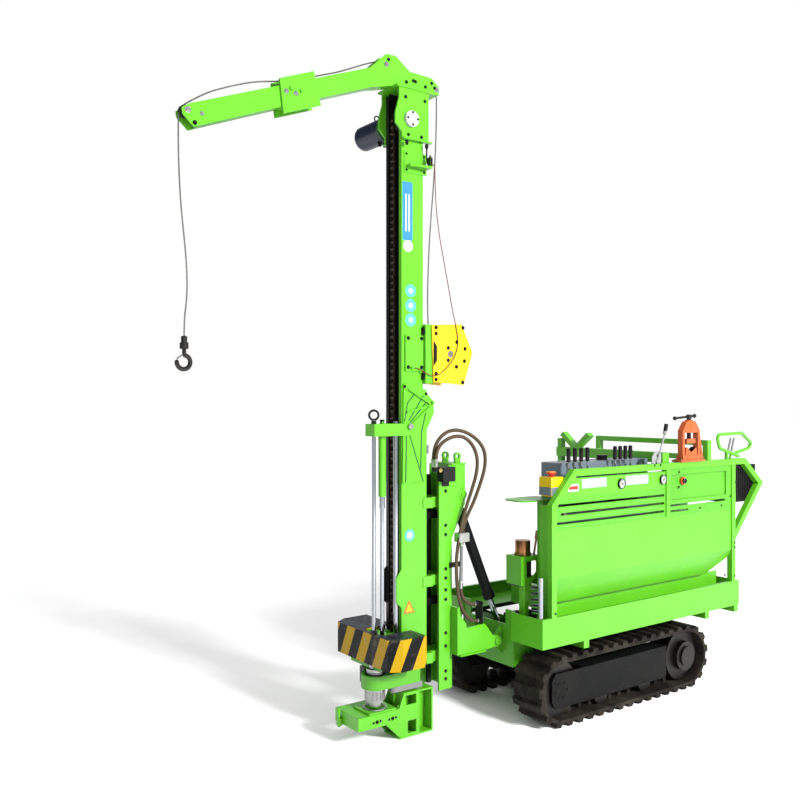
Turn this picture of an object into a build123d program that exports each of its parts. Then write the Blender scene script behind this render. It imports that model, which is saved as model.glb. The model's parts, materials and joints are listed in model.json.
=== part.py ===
"""Small tracked drill rig for soil investigation, in millimetres, +Z up.

+X points forward, towards the mast, and +Y to the machine's left, the operator's side.
Everything is laid out from the middle of the tracks, X = 0 and Y = 0, with the ground at
Z = 0. Each shape is moved by ORIGIN_X as it is written, so that the files have their
origin under the middle of the whole machine.
"""
import os
from math import atan2, cos, hypot, pi, radians, sin, tan

from build123d import *

os.makedirs("parts", exist_ok=True)

# Tracks and running gear
TRACK_LENGTH = 1590.0
TRACK_HEIGHT = 414.0
TRACK_OUT = 490.0          # outer face, from the middle plane
TRACK_WIDTH = 230.0
LUG_HEIGHT = 22.0
LUG_PITCH = 90.0
LUG_FOOT = 52.0            # length of a lug along the belt, at its root
LUG_TOP = 34.0
BELT_THICKNESS = 20.0
GUIDE_HEIGHT = 34.0        # guide teeth inside the belt
GUIDE_FOOT = 30.0
GUIDE_TOP = 18.0
GUIDE_WIDTH = 46.0
WHEEL_CLEARANCE = 1.3
ROLLER_RADIUS = 60.0
HUB_RADIUS = 95.0
HUB_COVER_RADIUS = 64.0

# Chassis and deck
DECK_HALF = 490.0
DECK_FRONT_X = 766.0
DECK_REAR_X = -1157.0
DECK_LOW = 475.0
DECK_TOP = 645.0
DECK_SHEET = 8.0
CHASSIS_LOW = 310.0
CHASSIS_SHEET = 12.0
CHASSIS_REAR_X = -700.0

# Side frame and console, on the left
TUBE = 40.0
FRAME_POST_X = 690.0
FRAME_SHOULDER_Z = 1295.0
FRAME_RAIL_X = 502.0
FRAME_RAIL_Z = 1492.0
FRAME_REAR_X = -1237.0
REAR_TIP_X = -1455.0
REAR_TIP_Z = 1311.0
REAR_FOOT_X = -1117.0
REAR_FOOT_Z = 934.0
DIVIDER_X = -374.0
SHEET = 4.0

# Mast support and its pivot
PIVOT_X = 800.0
PIVOT_Z = 460.0
SUPPORT_HALF = 90.0
SUPPORT_FRONT_X = 1199.0
SUPPORT_REAR_X = 1103.0
SUPPORT_LOW = 225.0
SUPPORT_TOP = 1460.0
SUPPORT_PLATE = 12.0

# Mast
MAST_HALF = 75.0
MAST_FRONT_X = 1456.0
MAST_REAR_X = 1305.0
MAST_LOW = 375.0
MAST_TOP = 3650.0
MAST_WALL = 8.0

# Head, spindle and feed
SPINDLE_X = 1585.0
GUARD_LOW = 432.0
GUARD_TOP = 605.0
GUARD_Y = (-360.0, 232.0)
GUARD_FRONT_Y = (-315.0, 190.0)  # ends of the flat front
GUARD_FRONT_X = 1632.0
GUARD_BEND_X = 1560.0      # where the sides turn in towards the front
GUARD_REAR_X = 1400.0
CROSSHEAD_LOW = 1700.0
CROSSHEAD_TOP = 1768.0
FIT = 0.05                 # radial clearance of a sliding or turning fit
GAP = 0.3                  # between pieces of different bodies

# Jib and winch
JIB_TIP_X = 2740.0
WINCH_X = 1130.0
WINCH_Z = 2165.0

ORIGIN_X = (REAR_TIP_X + JIB_TIP_X) / 2


def block(x0, x1, y0, y1, z0, z1):
    """Box between two corners."""
    centre = ((x0 + x1) / 2, (y0 + y1) / 2, (z0 + z1) / 2)
    return Pos(*centre) * Box(abs(x1 - x0), abs(y1 - y0), abs(z1 - z0))


def side_plate(points, y0, y1):
    """Plate whose outline lies in the X-Z plane, from y0 to y1."""
    wire = Polyline(*[(x, y0, z) for x, z in points], close=True)
    return extrude(make_face(wire), amount=y1 - y0, dir=(0, 1, 0))


def level_plate(points, z0, z1):
    """Plate whose outline lies in the X-Y plane, from z0 to z1."""
    wire = Polyline(*[(x, y, z0) for x, y in points], close=True)
    return extrude(make_face(wire), amount=z1 - z0, dir=(0, 0, 1))


def cross_plate(points, x0, x1):
    """Plate whose outline lies in the Y-Z plane, from x0 to x1."""
    wire = Polyline(*[(x0, y, z) for y, z in points], close=True)
    return extrude(make_face(wire), amount=x1 - x0, dir=(1, 0, 0))


def bar(start, end, radius):
    """Round bar between two points."""
    start, end = Vector(*start), Vector(*end)
    return extrude(Plane(origin=start, z_dir=end - start) * Circle(radius), amount=(end - start).length)


def disc(x, z, radius, y0, y1):
    """Round piece whose axis runs along Y."""
    return bar((x, y0, z), (x, y1, z), radius)


def upright(x, y, radius, z0, z1):
    """Round piece whose axis runs along Z."""
    return bar((x, y, z0), (x, y, z1), radius)


def mirrored(shape):
    """The same shape on the other side of the middle plane."""
    return mirror(shape, about=Plane.XZ)


def save(name, *shapes):
    """Write one node, moved to the machine's own origin."""
    solids = []
    for shape in shapes:
        solids += shape.solids()
    moved = [Pos(-ORIGIN_X, 0, 0) * solid for solid in solids]
    whole = moved[0] if len(moved) == 1 else Compound(children=moved)
    export_step(whole, f"parts/{name}.step")


def route_radii(points, fixed):
    """Radius of each corner of a cord's route, as large as its two runs allow."""
    radii = []
    for before, here, after in zip(points, points[1:], points[2:]):
        first, second = Vector(*here) - Vector(*before), Vector(*after) - Vector(*here)
        turn = radians(first.get_angle(second))
        radii.append(0.45 * min(first.length, second.length) / tan(turn / 2))
    for index, here in enumerate(points[1:-1]):
        radii[index] = fixed.get((here[0], here[2]), radii[index])
    return radii


def cord_tube(name, points, radius, fixed=None):
    """Tube along a route of straight runs and tangent arcs."""
    radii = route_radii(points, fixed or {})
    path = FilletPolyline(*points, radius=radii)
    tube = sweep(Plane(origin=path @ 0, z_dir=path % 0) * Circle(radius), path=path)
    smallest = round(min(radii), 1)
    print(name, "length", round(path.length, 1), "smallest radius", smallest,
          "volume ratio", round(tube.volume / (pi * radius ** 2 * path.length), 4))
    return tube


# Tracks
TRACK_IN = TRACK_OUT - TRACK_WIDTH
TRACK_MID = TRACK_OUT - TRACK_WIDTH / 2
END_RADIUS = TRACK_HEIGHT / 2
WHEEL_X = TRACK_LENGTH / 2 - END_RADIUS
AXLE_Z = END_RADIUS
BELT_OUT = END_RADIUS - LUG_HEIGHT
BELT_IN = BELT_OUT - BELT_THICKNESS


def loop_point(distance, radius):
    """Point on the track's loop, at a distance along the belt and a radius round the wheels."""
    run, turn = 2 * WHEEL_X, pi * BELT_OUT
    distance = distance % (2 * run + 2 * turn)
    if distance < run:
        return (WHEEL_X - distance, AXLE_Z + radius)
    if distance < run + turn:
        angle = pi / 2 + (distance - run) / BELT_OUT
        return (-WHEEL_X + radius * cos(angle), AXLE_Z + radius * sin(angle))
    if distance < 2 * run + turn:
        return (-WHEEL_X + distance - run - turn, AXLE_Z - radius)
    angle = -pi / 2 + (distance - 2 * run - turn) / BELT_OUT
    return (WHEEL_X + radius * cos(angle), AXLE_Z + radius * sin(angle))


def toothed_loop(foot_radius, tip_radius, foot, tip, other_radius, y0, y1):
    """Loop with a tooth on each link, cut to the inside or outside by another loop."""
    around = 4 * WHEEL_X + 2 * pi * BELT_OUT
    links = round(around / LUG_PITCH)
    step = around / links
    points = []
    for link in range(links):
        middle = link * step
        points += [loop_point(middle - foot / 2, foot_radius), loop_point(middle - tip / 2, tip_radius),
                   loop_point(middle + tip / 2, tip_radius), loop_point(middle + foot / 2, foot_radius)]
    toothed = side_plate(points, y0, y1)
    plain = side_plate([loop_point(half * step / 2, other_radius) for half in range(2 * links)], y0, y1)
    return toothed - plain if other_radius < foot_radius else plain - toothed


def track():
    """Rubber track: a belt with a lug on each link, and guide teeth inside it."""
    belt = toothed_loop(BELT_OUT, END_RADIUS, LUG_FOOT, LUG_TOP, BELT_IN, TRACK_IN, TRACK_OUT)
    guide = toothed_loop(BELT_IN + 1, BELT_IN - GUIDE_HEIGHT, GUIDE_FOOT, GUIDE_TOP, BELT_IN + 8,
                         TRACK_MID - GUIDE_WIDTH / 2, TRACK_MID + GUIDE_WIDTH / 2)
    return belt + guide


# Track frame and wheels
FRAME_IN = TRACK_MID - 45.0
FRAME_OUT = TRACK_OUT - 38.0
FRAME_LOW, FRAME_TOP = 98.0, 302.0
FRAME_FRONT_X = WHEEL_X - 208.0
FRAME_BACK_X = 188.0 - WHEEL_X
CHEEK_FRONT_X = WHEEL_X + 62.0
CHEEK = 13.0               # thickness of the long outer plate
WHEEL_RADIUS = BELT_IN - WHEEL_CLEARANCE
RIM_WIDTH = 28.0
RIM_Y = (TRACK_MID - GUIDE_WIDTH / 2 - 6 - RIM_WIDTH, TRACK_MID + GUIDE_WIDTH / 2 + 6)
ROLLER_X = (FRAME_FRONT_X - 175.0, FRAME_BACK_X + 195.0)
ROLLER_Z = AXLE_Z - BELT_IN + ROLLER_RADIUS + 0.1
DRIVE_PLATE_Y = (TRACK_MID - 79.0, TRACK_MID - 64.0)


def track_frame():
    """Side box with a long outer plate over the front wheel and the drive's plate inside."""
    body = side_plate([(FRAME_BACK_X, FRAME_LOW + 10), (FRAME_BACK_X + 20, FRAME_LOW),
                       (FRAME_FRONT_X, FRAME_LOW),
                       (FRAME_FRONT_X, FRAME_TOP), (FRAME_BACK_X, FRAME_TOP)], FRAME_IN, FRAME_OUT)
    for x in ROLLER_X:
        body -= disc(x, ROLLER_Z, ROLLER_RADIUS + 8, FRAME_IN - 1, FRAME_OUT - CHEEK)
    body += side_plate([(FRAME_FRONT_X - 1, FRAME_LOW), (CHEEK_FRONT_X - 30, FRAME_LOW),
                        (CHEEK_FRONT_X, FRAME_LOW + 40), (CHEEK_FRONT_X, FRAME_TOP - 40),
                        (CHEEK_FRONT_X - 30, FRAME_TOP), (FRAME_FRONT_X - 1, FRAME_TOP)],
                       FRAME_OUT - CHEEK, FRAME_OUT)
    body += side_plate([(FRAME_BACK_X + 5, FRAME_LOW + 20), (FRAME_BACK_X + 5, FRAME_TOP - 20),
                        (-WHEEL_X + 40, AXLE_Z + 100), (-WHEEL_X - 60, AXLE_Z + 70), (-WHEEL_X - 90, AXLE_Z),
                        (-WHEEL_X - 60, AXLE_Z - 70), (-WHEEL_X + 40, AXLE_Z - 100)], *DRIVE_PLATE_Y)
    body += block(FRAME_BACK_X, FRAME_BACK_X + 30, DRIVE_PLATE_Y[0], FRAME_IN + 1, FRAME_LOW + 20,
                  FRAME_TOP - 20)
    arm = side_plate([(FRAME_FRONT_X - 1, AXLE_Z - 50), (WHEEL_X + 20, AXLE_Z - 35), (WHEEL_X + 40, AXLE_Z),
                      (WHEEL_X + 20, AXLE_Z + 35), (FRAME_FRONT_X - 1, AXLE_Z + 50)], *DRIVE_PLATE_Y)
    arm += block(FRAME_FRONT_X - 31, FRAME_FRONT_X - 1, DRIVE_PLATE_Y[0], FRAME_IN + 1, AXLE_Z - 50,
                 AXLE_Z + 50)
    return body + arm


def flanged_wheel(x, z, radius, hub):
    """Wheel that runs on the belt each side of the guide teeth."""
    wheel = disc(x, z, hub, RIM_Y[0], RIM_Y[1] + RIM_WIDTH)
    for y in RIM_Y:
        wheel += disc(x, z, radius, y, y + RIM_WIDTH)
    return wheel


def idler():
    """Front wheel with its axle."""
    wheel = flanged_wheel(WHEEL_X, AXLE_Z, WHEEL_RADIUS, BELT_IN - GUIDE_HEIGHT - 8)
    return wheel + disc(WHEEL_X, AXLE_Z, 16, DRIVE_PLATE_Y[1], FRAME_OUT - CHEEK)


def rollers():
    """Bottom rollers under the track frame."""
    made = []
    for x in ROLLER_X:
        wheel = flanged_wheel(x, ROLLER_Z, ROLLER_RADIUS, ROLLER_RADIUS - GUIDE_HEIGHT - 4)
        made.append(wheel + disc(x, ROLLER_Z, 12, RIM_Y[0], FRAME_OUT - CHEEK))
    return made


SPROCKET_ROOT = BELT_IN - GUIDE_HEIGHT - 6


def drive():
    """Final drive: sprocket, motor hub and its round cover."""
    sprocket = disc(-WHEEL_X, AXLE_Z, SPROCKET_ROOT, TRACK_MID - 14, TRACK_MID + 14)
    for y in RIM_Y:
        sprocket += disc(-WHEEL_X, AXLE_Z, WHEEL_RADIUS, y, y + RIM_WIDTH)
    hub = disc(-WHEEL_X, AXLE_Z, HUB_RADIUS, DRIVE_PLATE_Y[1], TRACK_OUT - 22)
    cover = disc(-WHEEL_X, AXLE_Z, HUB_COVER_RADIUS, TRACK_OUT - 22, TRACK_OUT - 8)
    return sprocket + hub + cover


# Chassis between the tracks
CHASSIS_HALF = TRACK_IN - 30.0      # clear of the tracks' inner faces
LUG_PLATE = 18.0
LUG_Y = 110.0              # inner face of each pivot lug on the chassis
PIVOT_PIN_RADIUS = 14.0
PIVOT_BOSS_RADIUS = 34.0
CHASSIS_FRONT_X = 745.0
CHASSIS_TOP = DECK_LOW
CROSS_BEAM_X = (FRAME_FRONT_X - 80.0, FRAME_BACK_X + 100.0)
CROSS_BEAM = 100.0
CROSS_BEAM_LOW = 205.0
ROD_EYE_X, ROD_EYE_Z = 615.0, 420.0
WELL_REAR_X = 330.0
NOTCH_HALF = 160.0         # room for the hoses and the bulkhead as the mast leans
NOTCH_LOW = 555.0


def chassis_frame():
    """Open box of plates with the pivot lugs on its front and a well for the tilt cylinder."""
    front = block(CHASSIS_FRONT_X - CHASSIS_SHEET, CHASSIS_FRONT_X, -CHASSIS_HALF, CHASSIS_HALF,
                  CHASSIS_LOW, DECK_TOP)
    front -= block(CHASSIS_FRONT_X - CHASSIS_SHEET - 1, CHASSIS_FRONT_X + 1, -NOTCH_HALF, NOTCH_HALF,
                   NOTCH_LOW, DECK_TOP + 1)
    walls = []
    for side in (-1, 1):
        y0, y1 = sorted((side * CHASSIS_HALF, side * (CHASSIS_HALF - CHASSIS_SHEET)))
        walls.append(block(CHASSIS_REAR_X, CHASSIS_FRONT_X, y0, y1, CHASSIS_LOW, CHASSIS_TOP))
        lug = side_plate([(CHASSIS_FRONT_X - 1, PIVOT_Z - 90), (CHASSIS_FRONT_X - 1, PIVOT_Z + 90),
                          (PIVOT_X, PIVOT_Z + 30), (PIVOT_X, PIVOT_Z - 30)], LUG_Y, LUG_Y + LUG_PLATE)
        lug += disc(PIVOT_X, PIVOT_Z, PIVOT_BOSS_RADIUS, LUG_Y, LUG_Y + LUG_PLATE)
        lug -= disc(PIVOT_X, PIVOT_Z, PIVOT_PIN_RADIUS + 0.05, LUG_Y - 1, LUG_Y + LUG_PLATE + 1)
        walls.append(lug if side > 0 else mirrored(lug))
    floor = block(CHASSIS_REAR_X, CHASSIS_FRONT_X, -CHASSIS_HALF, CHASSIS_HALF, CHASSIS_LOW,
                  CHASSIS_LOW + CHASSIS_SHEET)
    back = block(CHASSIS_REAR_X, CHASSIS_REAR_X + CHASSIS_SHEET, -CHASSIS_HALF, CHASSIS_HALF,
                 CHASSIS_LOW, CHASSIS_TOP)
    wall = block(WELL_REAR_X - CHASSIS_SHEET, WELL_REAR_X, -CHASSIS_HALF, CHASSIS_HALF,
                 CHASSIS_LOW, CHASSIS_TOP)
    body = front + floor + back + wall
    for piece in walls:
        body += piece
    for side in (-1, 1):
        eye_lug = side_plate([(ROD_EYE_X - 40, CHASSIS_LOW), (ROD_EYE_X + 40, CHASSIS_LOW),
                              (ROD_EYE_X + 28, ROD_EYE_Z + 20), (ROD_EYE_X - 28, ROD_EYE_Z + 20)], 32, 46)
        eye_lug += disc(ROD_EYE_X, ROD_EYE_Z, 30, 32, 46)
        eye_lug += disc(ROD_EYE_X, ROD_EYE_Z, 13, 28, 54)
        body += eye_lug if side > 0 else mirrored(eye_lug)
    return body


def cross_beams():
    """Two square beams that carry the track frames."""
    beams = [block(x - CROSS_BEAM / 2, x + CROSS_BEAM / 2, -FRAME_IN, FRAME_IN, CROSS_BEAM_LOW,
                   CHASSIS_LOW) for x in CROSS_BEAM_X]
    step = block(FRAME_BACK_X - 1, FRAME_BACK_X + 31, DRIVE_PLATE_Y[0] - 1, FRAME_IN + 1, FRAME_LOW,
                 FRAME_TOP - 20)
    front_step = block(FRAME_FRONT_X - 32, FRAME_FRONT_X, DRIVE_PLATE_Y[0] - 1, FRAME_IN + 1, FRAME_LOW,
                       FRAME_TOP)
    for cut in (step, mirrored(step), front_step, mirrored(front_step)):
        beams = [beam - cut for beam in beams]
    return beams


# Deck
CROSS_TUBE = 45.0
CROSS_TUBE_X = (400.0, -790.0, -1146.0 + 22.5)
FLOOR_Z = 560.0
FLOOR_TOP = FLOOR_Z + 6.1    # where pieces stand on the floor


def deck_frame():
    """Side, front and rear channels, with a sheet floor and an open well in front."""
    body = None
    for side in (-1, 1):
        web = block(DECK_REAR_X, DECK_FRONT_X, DECK_HALF - DECK_SHEET, DECK_HALF, DECK_LOW, DECK_TOP)
        web += block(DECK_REAR_X, DECK_FRONT_X, DECK_HALF - 60, DECK_HALF, DECK_LOW, DECK_LOW + DECK_SHEET)
        web += block(DECK_REAR_X, DECK_FRONT_X, DECK_HALF - 22, DECK_HALF, DECK_TOP - DECK_SHEET, DECK_TOP)
        web = web if side > 0 else mirrored(web)
        body = web if body is None else body + web
    for y0, y1 in ((CHASSIS_HALF + 0.5, DECK_HALF - 1), (-DECK_HALF + 1, -CHASSIS_HALF - 0.5)):
        body += block(DECK_FRONT_X - DECK_SHEET, DECK_FRONT_X, y0, y1, DECK_LOW, DECK_TOP)
    body += block(DECK_REAR_X, DECK_REAR_X + DECK_SHEET, -DECK_HALF + 1, DECK_HALF - 1, DECK_LOW, DECK_TOP)
    floor = block(DECK_REAR_X + 1, DECK_FRONT_X - 1, -DECK_HALF + 1, DECK_HALF - 1, FLOOR_Z, FLOOR_Z + 6)
    floor -= block(WELL_REAR_X, DECK_FRONT_X + 1, -CHASSIS_HALF - 0.5, CHASSIS_HALF + 0.5, FLOOR_Z - 1,
                   FLOOR_Z + 7)
    body += floor
    for x in CROSS_TUBE_X:
        body += block(x - CROSS_TUBE / 2, x + CROSS_TUBE / 2, -DECK_HALF, DECK_HALF, DECK_LOW - CROSS_TUBE,
                      DECK_LOW + 1) - block(x - CROSS_TUBE, x + CROSS_TUBE, -CHASSIS_HALF - 0.3,
                                            CHASSIS_HALF + 0.3, DECK_LOW - CROSS_TUBE - 1, DECK_LOW)
    body += block(WELL_REAR_X - 40, WELL_REAR_X, -CHASSIS_HALF, TANK_Y[0] - 5, FLOOR_Z, DECK_TOP + 60)
    return body


# Side frame and console
FRAME_Y = (DECK_HALF - TUBE, DECK_HALF)
SIDE_FRAME_POINTS = [(FRAME_POST_X, DECK_TOP + 0.3), (FRAME_POST_X, FRAME_SHOULDER_Z),
                     (FRAME_RAIL_X, FRAME_RAIL_Z), (FRAME_REAR_X, FRAME_RAIL_Z),
                     (REAR_TIP_X, REAR_TIP_Z), (REAR_FOOT_X, REAR_FOOT_Z), (REAR_FOOT_X, DECK_TOP + 0.3)]


def side_frame():
    """Welded tube frame of the left side, with a divider and a rear post."""
    outer = make_face(Polyline(*[(x, z) for x, z in SIDE_FRAME_POINTS], close=True))
    inner = offset(outer, amount=-TUBE, kind=Kind.INTERSECTION)
    frame = Pos(0, FRAME_Y[1], 0) * (Rot(90, 0, 0) * extrude(outer - inner, amount=TUBE))
    frame -= block(FRAME_POST_X - TUBE, REAR_FOOT_X + TUBE, FRAME_Y[0] - 1, FRAME_Y[1] + 1, DECK_TOP,
                   DECK_TOP + TUBE + 1)
    frame += block(DIVIDER_X - 18, DIVIDER_X + 18, FRAME_Y[0], FRAME_Y[1], LOWER_PANEL_TOP,
                   FRAME_RAIL_Z - TUBE + 1)
    frame += block(REAR_FOOT_X, REAR_FOOT_X + TUBE, FRAME_Y[0], FRAME_Y[1], REAR_FOOT_Z - 60,
                   FRAME_RAIL_Z - TUBE + 1)
    return frame


PANEL_Y = DECK_HALF - 8
PANEL_FRONT_X = FRAME_POST_X - TUBE
LOWER_PANEL_TOP = 1150.0
PANEL_KINK_Z = 864.0
PANEL_LOW_Z = 705.0
PANEL_LOW_Y = DECK_HALF - 90.0
GAUGE_PANEL_LOW = 1335.0
GAUGE_PANEL_TOP = 1440.0
SLOTS = ((640.0, -340.0, 1287.0), (610.0, -340.0, 1236.0), (655.0, -340.0, 1184.0))   # front x, rear x, z
SLOT_HEIGHT = 14.0


def lower_panel():
    """Large sheet of the console, folded inwards at its foot."""
    sheet = cross_plate([(PANEL_Y - SHEET, LOWER_PANEL_TOP - 1), (PANEL_Y, LOWER_PANEL_TOP - 1),
                         (PANEL_Y, PANEL_KINK_Z), (PANEL_LOW_Y + SHEET, PANEL_LOW_Z),
                         (PANEL_LOW_Y, PANEL_LOW_Z), (PANEL_Y - SHEET, PANEL_KINK_Z + 2)],
                        REAR_FOOT_X + TUBE, PANEL_FRONT_X)
    corner = side_plate([(REAR_FOOT_X, PANEL_LOW_Z - 2), (REAR_FOOT_X, 836), (-885, PANEL_LOW_Z - 2)],
                        PANEL_LOW_Y - 10, PANEL_Y + 10)
    return sheet - corner


def slotted_panel():
    """Upper sheet with three long slots."""
    sheet = block(DIVIDER_X + 18, PANEL_FRONT_X, PANEL_Y - SHEET, PANEL_Y, LOWER_PANEL_TOP, GAUGE_PANEL_LOW)
    sheet -= side_plate([(PANEL_FRONT_X + 1, 1275), (PANEL_FRONT_X + 1, 1400), (PANEL_FRONT_X - 118, 1400)],
                        PANEL_Y - 10, PANEL_Y + 10)
    for front, rear, z in SLOTS:
        sheet -= block(rear, front, PANEL_Y - 10, PANEL_Y + 10, z - SLOT_HEIGHT / 2, z + SLOT_HEIGHT / 2)
    return sheet


def gauge_panel():
    """Shallow box that carries the gauges and blank labels."""
    outline = [(DIVIDER_X + 18, GAUGE_PANEL_LOW), (PANEL_FRONT_X - 57, GAUGE_PANEL_LOW),
               (PANEL_FRONT_X - 158, GAUGE_PANEL_TOP), (DIVIDER_X + 18, GAUGE_PANEL_TOP)]
    sheet = side_plate(outline, PANEL_Y - SHEET, PANEL_Y)
    return sheet + block(DIVIDER_X + 18, PANEL_FRONT_X - 165, PANEL_Y - 30, PANEL_Y - SHEET + 1,
                         GAUGE_PANEL_TOP - SHEET, GAUGE_PANEL_TOP)


GAUGE_RADIUS = 31.0
GAUGES = ((81.0, 1386.0), (-323.0, 1389.0))     # x, z


def gauges():
    """Two pressure gauges with rims."""
    made = []
    for x, z in GAUGES:
        gauge = disc(x, z, GAUGE_RADIUS, PANEL_Y + 0.1, PANEL_Y + 10)
        gauge -= disc(x, z, GAUGE_RADIUS - 3, PANEL_Y + 7, PANEL_Y + 11)
        made.append(gauge)
    return made


def recess_panel():
    """Right-hand panel, set back in a frame, with the key switch."""
    x0, x1 = REAR_FOOT_X + TUBE, DIVIDER_X - 18
    z0, z1 = LOWER_PANEL_TOP, FRAME_RAIL_Z - TUBE
    sheet = block(x0, x1, PANEL_Y - 14, PANEL_Y, z0, z1)
    sheet -= block(x0 + 60, x1 - 30, PANEL_Y - 10, PANEL_Y + 1, z0 + 100, z1 - 40)
    for z, rear in ((1215.0, x0 + 70), (1178.0, x1 - 200)):
        sheet -= block(rear, x1 - 10, PANEL_Y - 20, PANEL_Y + 1, z - SLOT_HEIGHT / 2, z + SLOT_HEIGHT / 2)
    return sheet


KEY_X, KEY_Z = -539.0, 1369.0


def key_switch():
    """Round key switch with its orange collar."""
    collar = disc(KEY_X, KEY_Z, 26, PANEL_Y - 9.9, PANEL_Y + 4)
    return collar + disc(KEY_X, KEY_Z, 16, PANEL_Y + 4, PANEL_Y + 18)


def front_cover():
    """Narrow sheet cover that closes the front of the console."""
    return block(FRAME_POST_X - TUBE, FRAME_POST_X - TUBE + SHEET, FRAME_Y[0] - 95, FRAME_Y[0], FLOOR_TOP,
                 FRAME_SHOULDER_Z - 10)


LEVERS = tuple((462 - 55 * n) for n in range(4)) + tuple((44 - 49 * n) for n in range(4))
LEVER_Y = DECK_HALF - 86.0
LEVER_BASE_Z = 1350.0


def lever_bank():
    """Two valve blocks, each with four levers and black grips."""
    made = []
    for first, last in ((LEVERS[0], LEVERS[3]), (LEVERS[4], LEVERS[7])):
        made.append(block(last - 30, first + 30, LEVER_Y - 40, LEVER_Y + 30, LEVER_BASE_Z - 95, LEVER_BASE_Z))
    bank = made
    for index, x in enumerate(LEVERS):
        lever = upright(x, LEVER_Y, 5, LEVER_BASE_Z - 1, 1600) + upright(x, LEVER_Y, 12, 1535, 1612)
        bank[index // 4] += lever
    return bank


def lever_shelf():
    """Bracket under the valve blocks, fixed to the side frame."""
    return block(LEVERS[7] - 40, LEVERS[0] + 40, LEVER_Y - 50, PANEL_Y - SHEET, LEVER_BASE_Z - 101,
                 LEVER_BASE_Z - 95)


TANK_X = (-360.0, 470.0)
TANK_Y = (LEVER_Y - 229.0, LEVER_Y - 59.0)
TANK_TOP = 1518.0


def hydraulic_tank():
    """Tall oil tank behind the levers, on the deck floor."""
    tank = block(*TANK_X, *TANK_Y, FLOOR_TOP, TANK_TOP)
    cap = upright(0, sum(TANK_Y) / 2, 32, TANK_TOP - 1, TANK_TOP + 26)
    return fillet(tank.edges().filter_by(Axis.Z), 18) + cap


ENGINE_X = (-1090.0, -520.0)
ENGINE_Y = (-300.0, 120.0)


def engine_block():
    """The engine, as one mass inside its cover."""
    return block(ENGINE_X[0] + 40, ENGINE_X[1] - 40, ENGINE_Y[0] + 40, ENGINE_Y[1] - 40, FLOOR_TOP, 1180)


def engine_cover():
    """Sheet cover over the engine, open below."""
    outer = cross_plate([(ENGINE_Y[0], FLOOR_TOP), (ENGINE_Y[1], FLOOR_TOP), (ENGINE_Y[1], 1240),
                         (ENGINE_Y[1] - 60, 1300), (ENGINE_Y[0] + 60, 1300), (ENGINE_Y[0], 1240)], *ENGINE_X)
    inner = cross_plate([(ENGINE_Y[0] + 4, FLOOR_Z), (ENGINE_Y[1] - 4, FLOOR_Z), (ENGINE_Y[1] - 4, 1238),
                         (ENGINE_Y[1] - 62, 1296), (ENGINE_Y[0] + 62, 1296), (ENGINE_Y[0] + 4, 1238)],
                        ENGINE_X[0] + 4, ENGINE_X[1] - 4)
    cover = outer - inner
    for n in range(6):
        z = 760 + n * 70
        cover -= block(ENGINE_X[0] - 1, ENGINE_X[0] + 5, ENGINE_Y[0] + 60, ENGINE_Y[1] - 60, z, z + 25)
    return cover


COOLER_X = (-1420.0, -1190.0)
COOLER_Y = (200.0, FRAME_Y[0])
COOLER_Z = (1190.0, 1440.0)


def oil_cooler():
    """Black finned oil cooler behind the console."""
    body = block(*COOLER_X, *COOLER_Y, *COOLER_Z)
    for n in range(9):
        x = COOLER_X[0] + 22 + n * 22
        body -= block(x, x + 10, COOLER_Y[1] - 30, COOLER_Y[1] + 1, COOLER_Z[0] + 20, COOLER_Z[1] - 20)
    return body


def cooler_bracket():
    """Plate from the rear post to the cooler."""
    return block(COOLER_X[0], REAR_FOOT_X, COOLER_Y[0], COOLER_Y[1], COOLER_Z[0] - 8, COOLER_Z[0])


REST_X = -400.0
REST_Z = 1492.0
REST_TUBE = 66.0
VEE_Y = -320.0
VEE_TIP_Y = (-452.0, -188.0)
VEE_TIP_Z = 1668.0


def rod_rest():
    """Cross beam with a far post and the vee that rods lie in."""
    body = block(REST_X - REST_TUBE / 2, REST_X + REST_TUBE / 2, -DECK_HALF, FRAME_Y[0] - 0.3, REST_Z,
                 REST_Z + REST_TUBE)
    body += block(REST_X - 20, REST_X + 20, -DECK_HALF, -DECK_HALF + TUBE, DECK_TOP + 0.3, 1620)
    top = REST_Z + REST_TUBE
    for tip in VEE_TIP_Y:
        lean = 1 if tip > VEE_Y else -1
        arm = cross_plate([(VEE_Y - 16 * lean, top - 1), (VEE_Y + 34 * lean, top - 1),
                           (tip + 10 * lean, VEE_TIP_Z - 24), (tip - 20 * lean, VEE_TIP_Z)],
                          REST_X - 25, REST_X + 25)
        body += arm
    return body


REAR_FRAME_X = (-835.0, -795.0)
REAR_FRAME_TOP = 1628.0


def rear_frame():
    """Rectangular cross frame behind the rest, with its posts on the far side."""
    outer = cross_plate([(-DECK_HALF, FRAME_RAIL_Z + 0.3), (DECK_HALF, FRAME_RAIL_Z + 0.3),
                         (DECK_HALF, REAR_FRAME_TOP), (-DECK_HALF, REAR_FRAME_TOP)], *REAR_FRAME_X)
    inner = block(REAR_FRAME_X[0] - 1, REAR_FRAME_X[1] + 1, -DECK_HALF + 40, DECK_HALF - 40,
                  FRAME_RAIL_Z + 36, REAR_FRAME_TOP - 36)
    body = outer - inner
    body += block(*REAR_FRAME_X, -DECK_HALF, -DECK_HALF + TUBE, DECK_TOP + 0.3, FRAME_RAIL_Z + 20)
    body += block(DECK_REAR_X + 17, DECK_REAR_X + 57, -DECK_HALF, -DECK_HALF + TUBE, DECK_TOP + 0.3, 1400)
    body += block(DECK_REAR_X + 17, REAR_FRAME_X[0] + 1, -DECK_HALF, -DECK_HALF + TUBE, 1360, 1400)
    return body


def right_panel():
    """Sheet that closes the far side below the posts."""
    inside = -DECK_HALF + TUBE + 0.3
    return block(DECK_REAR_X + 20, REST_X + 15, inside, inside + SHEET, DECK_TOP + 0.3, 1340)


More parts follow.
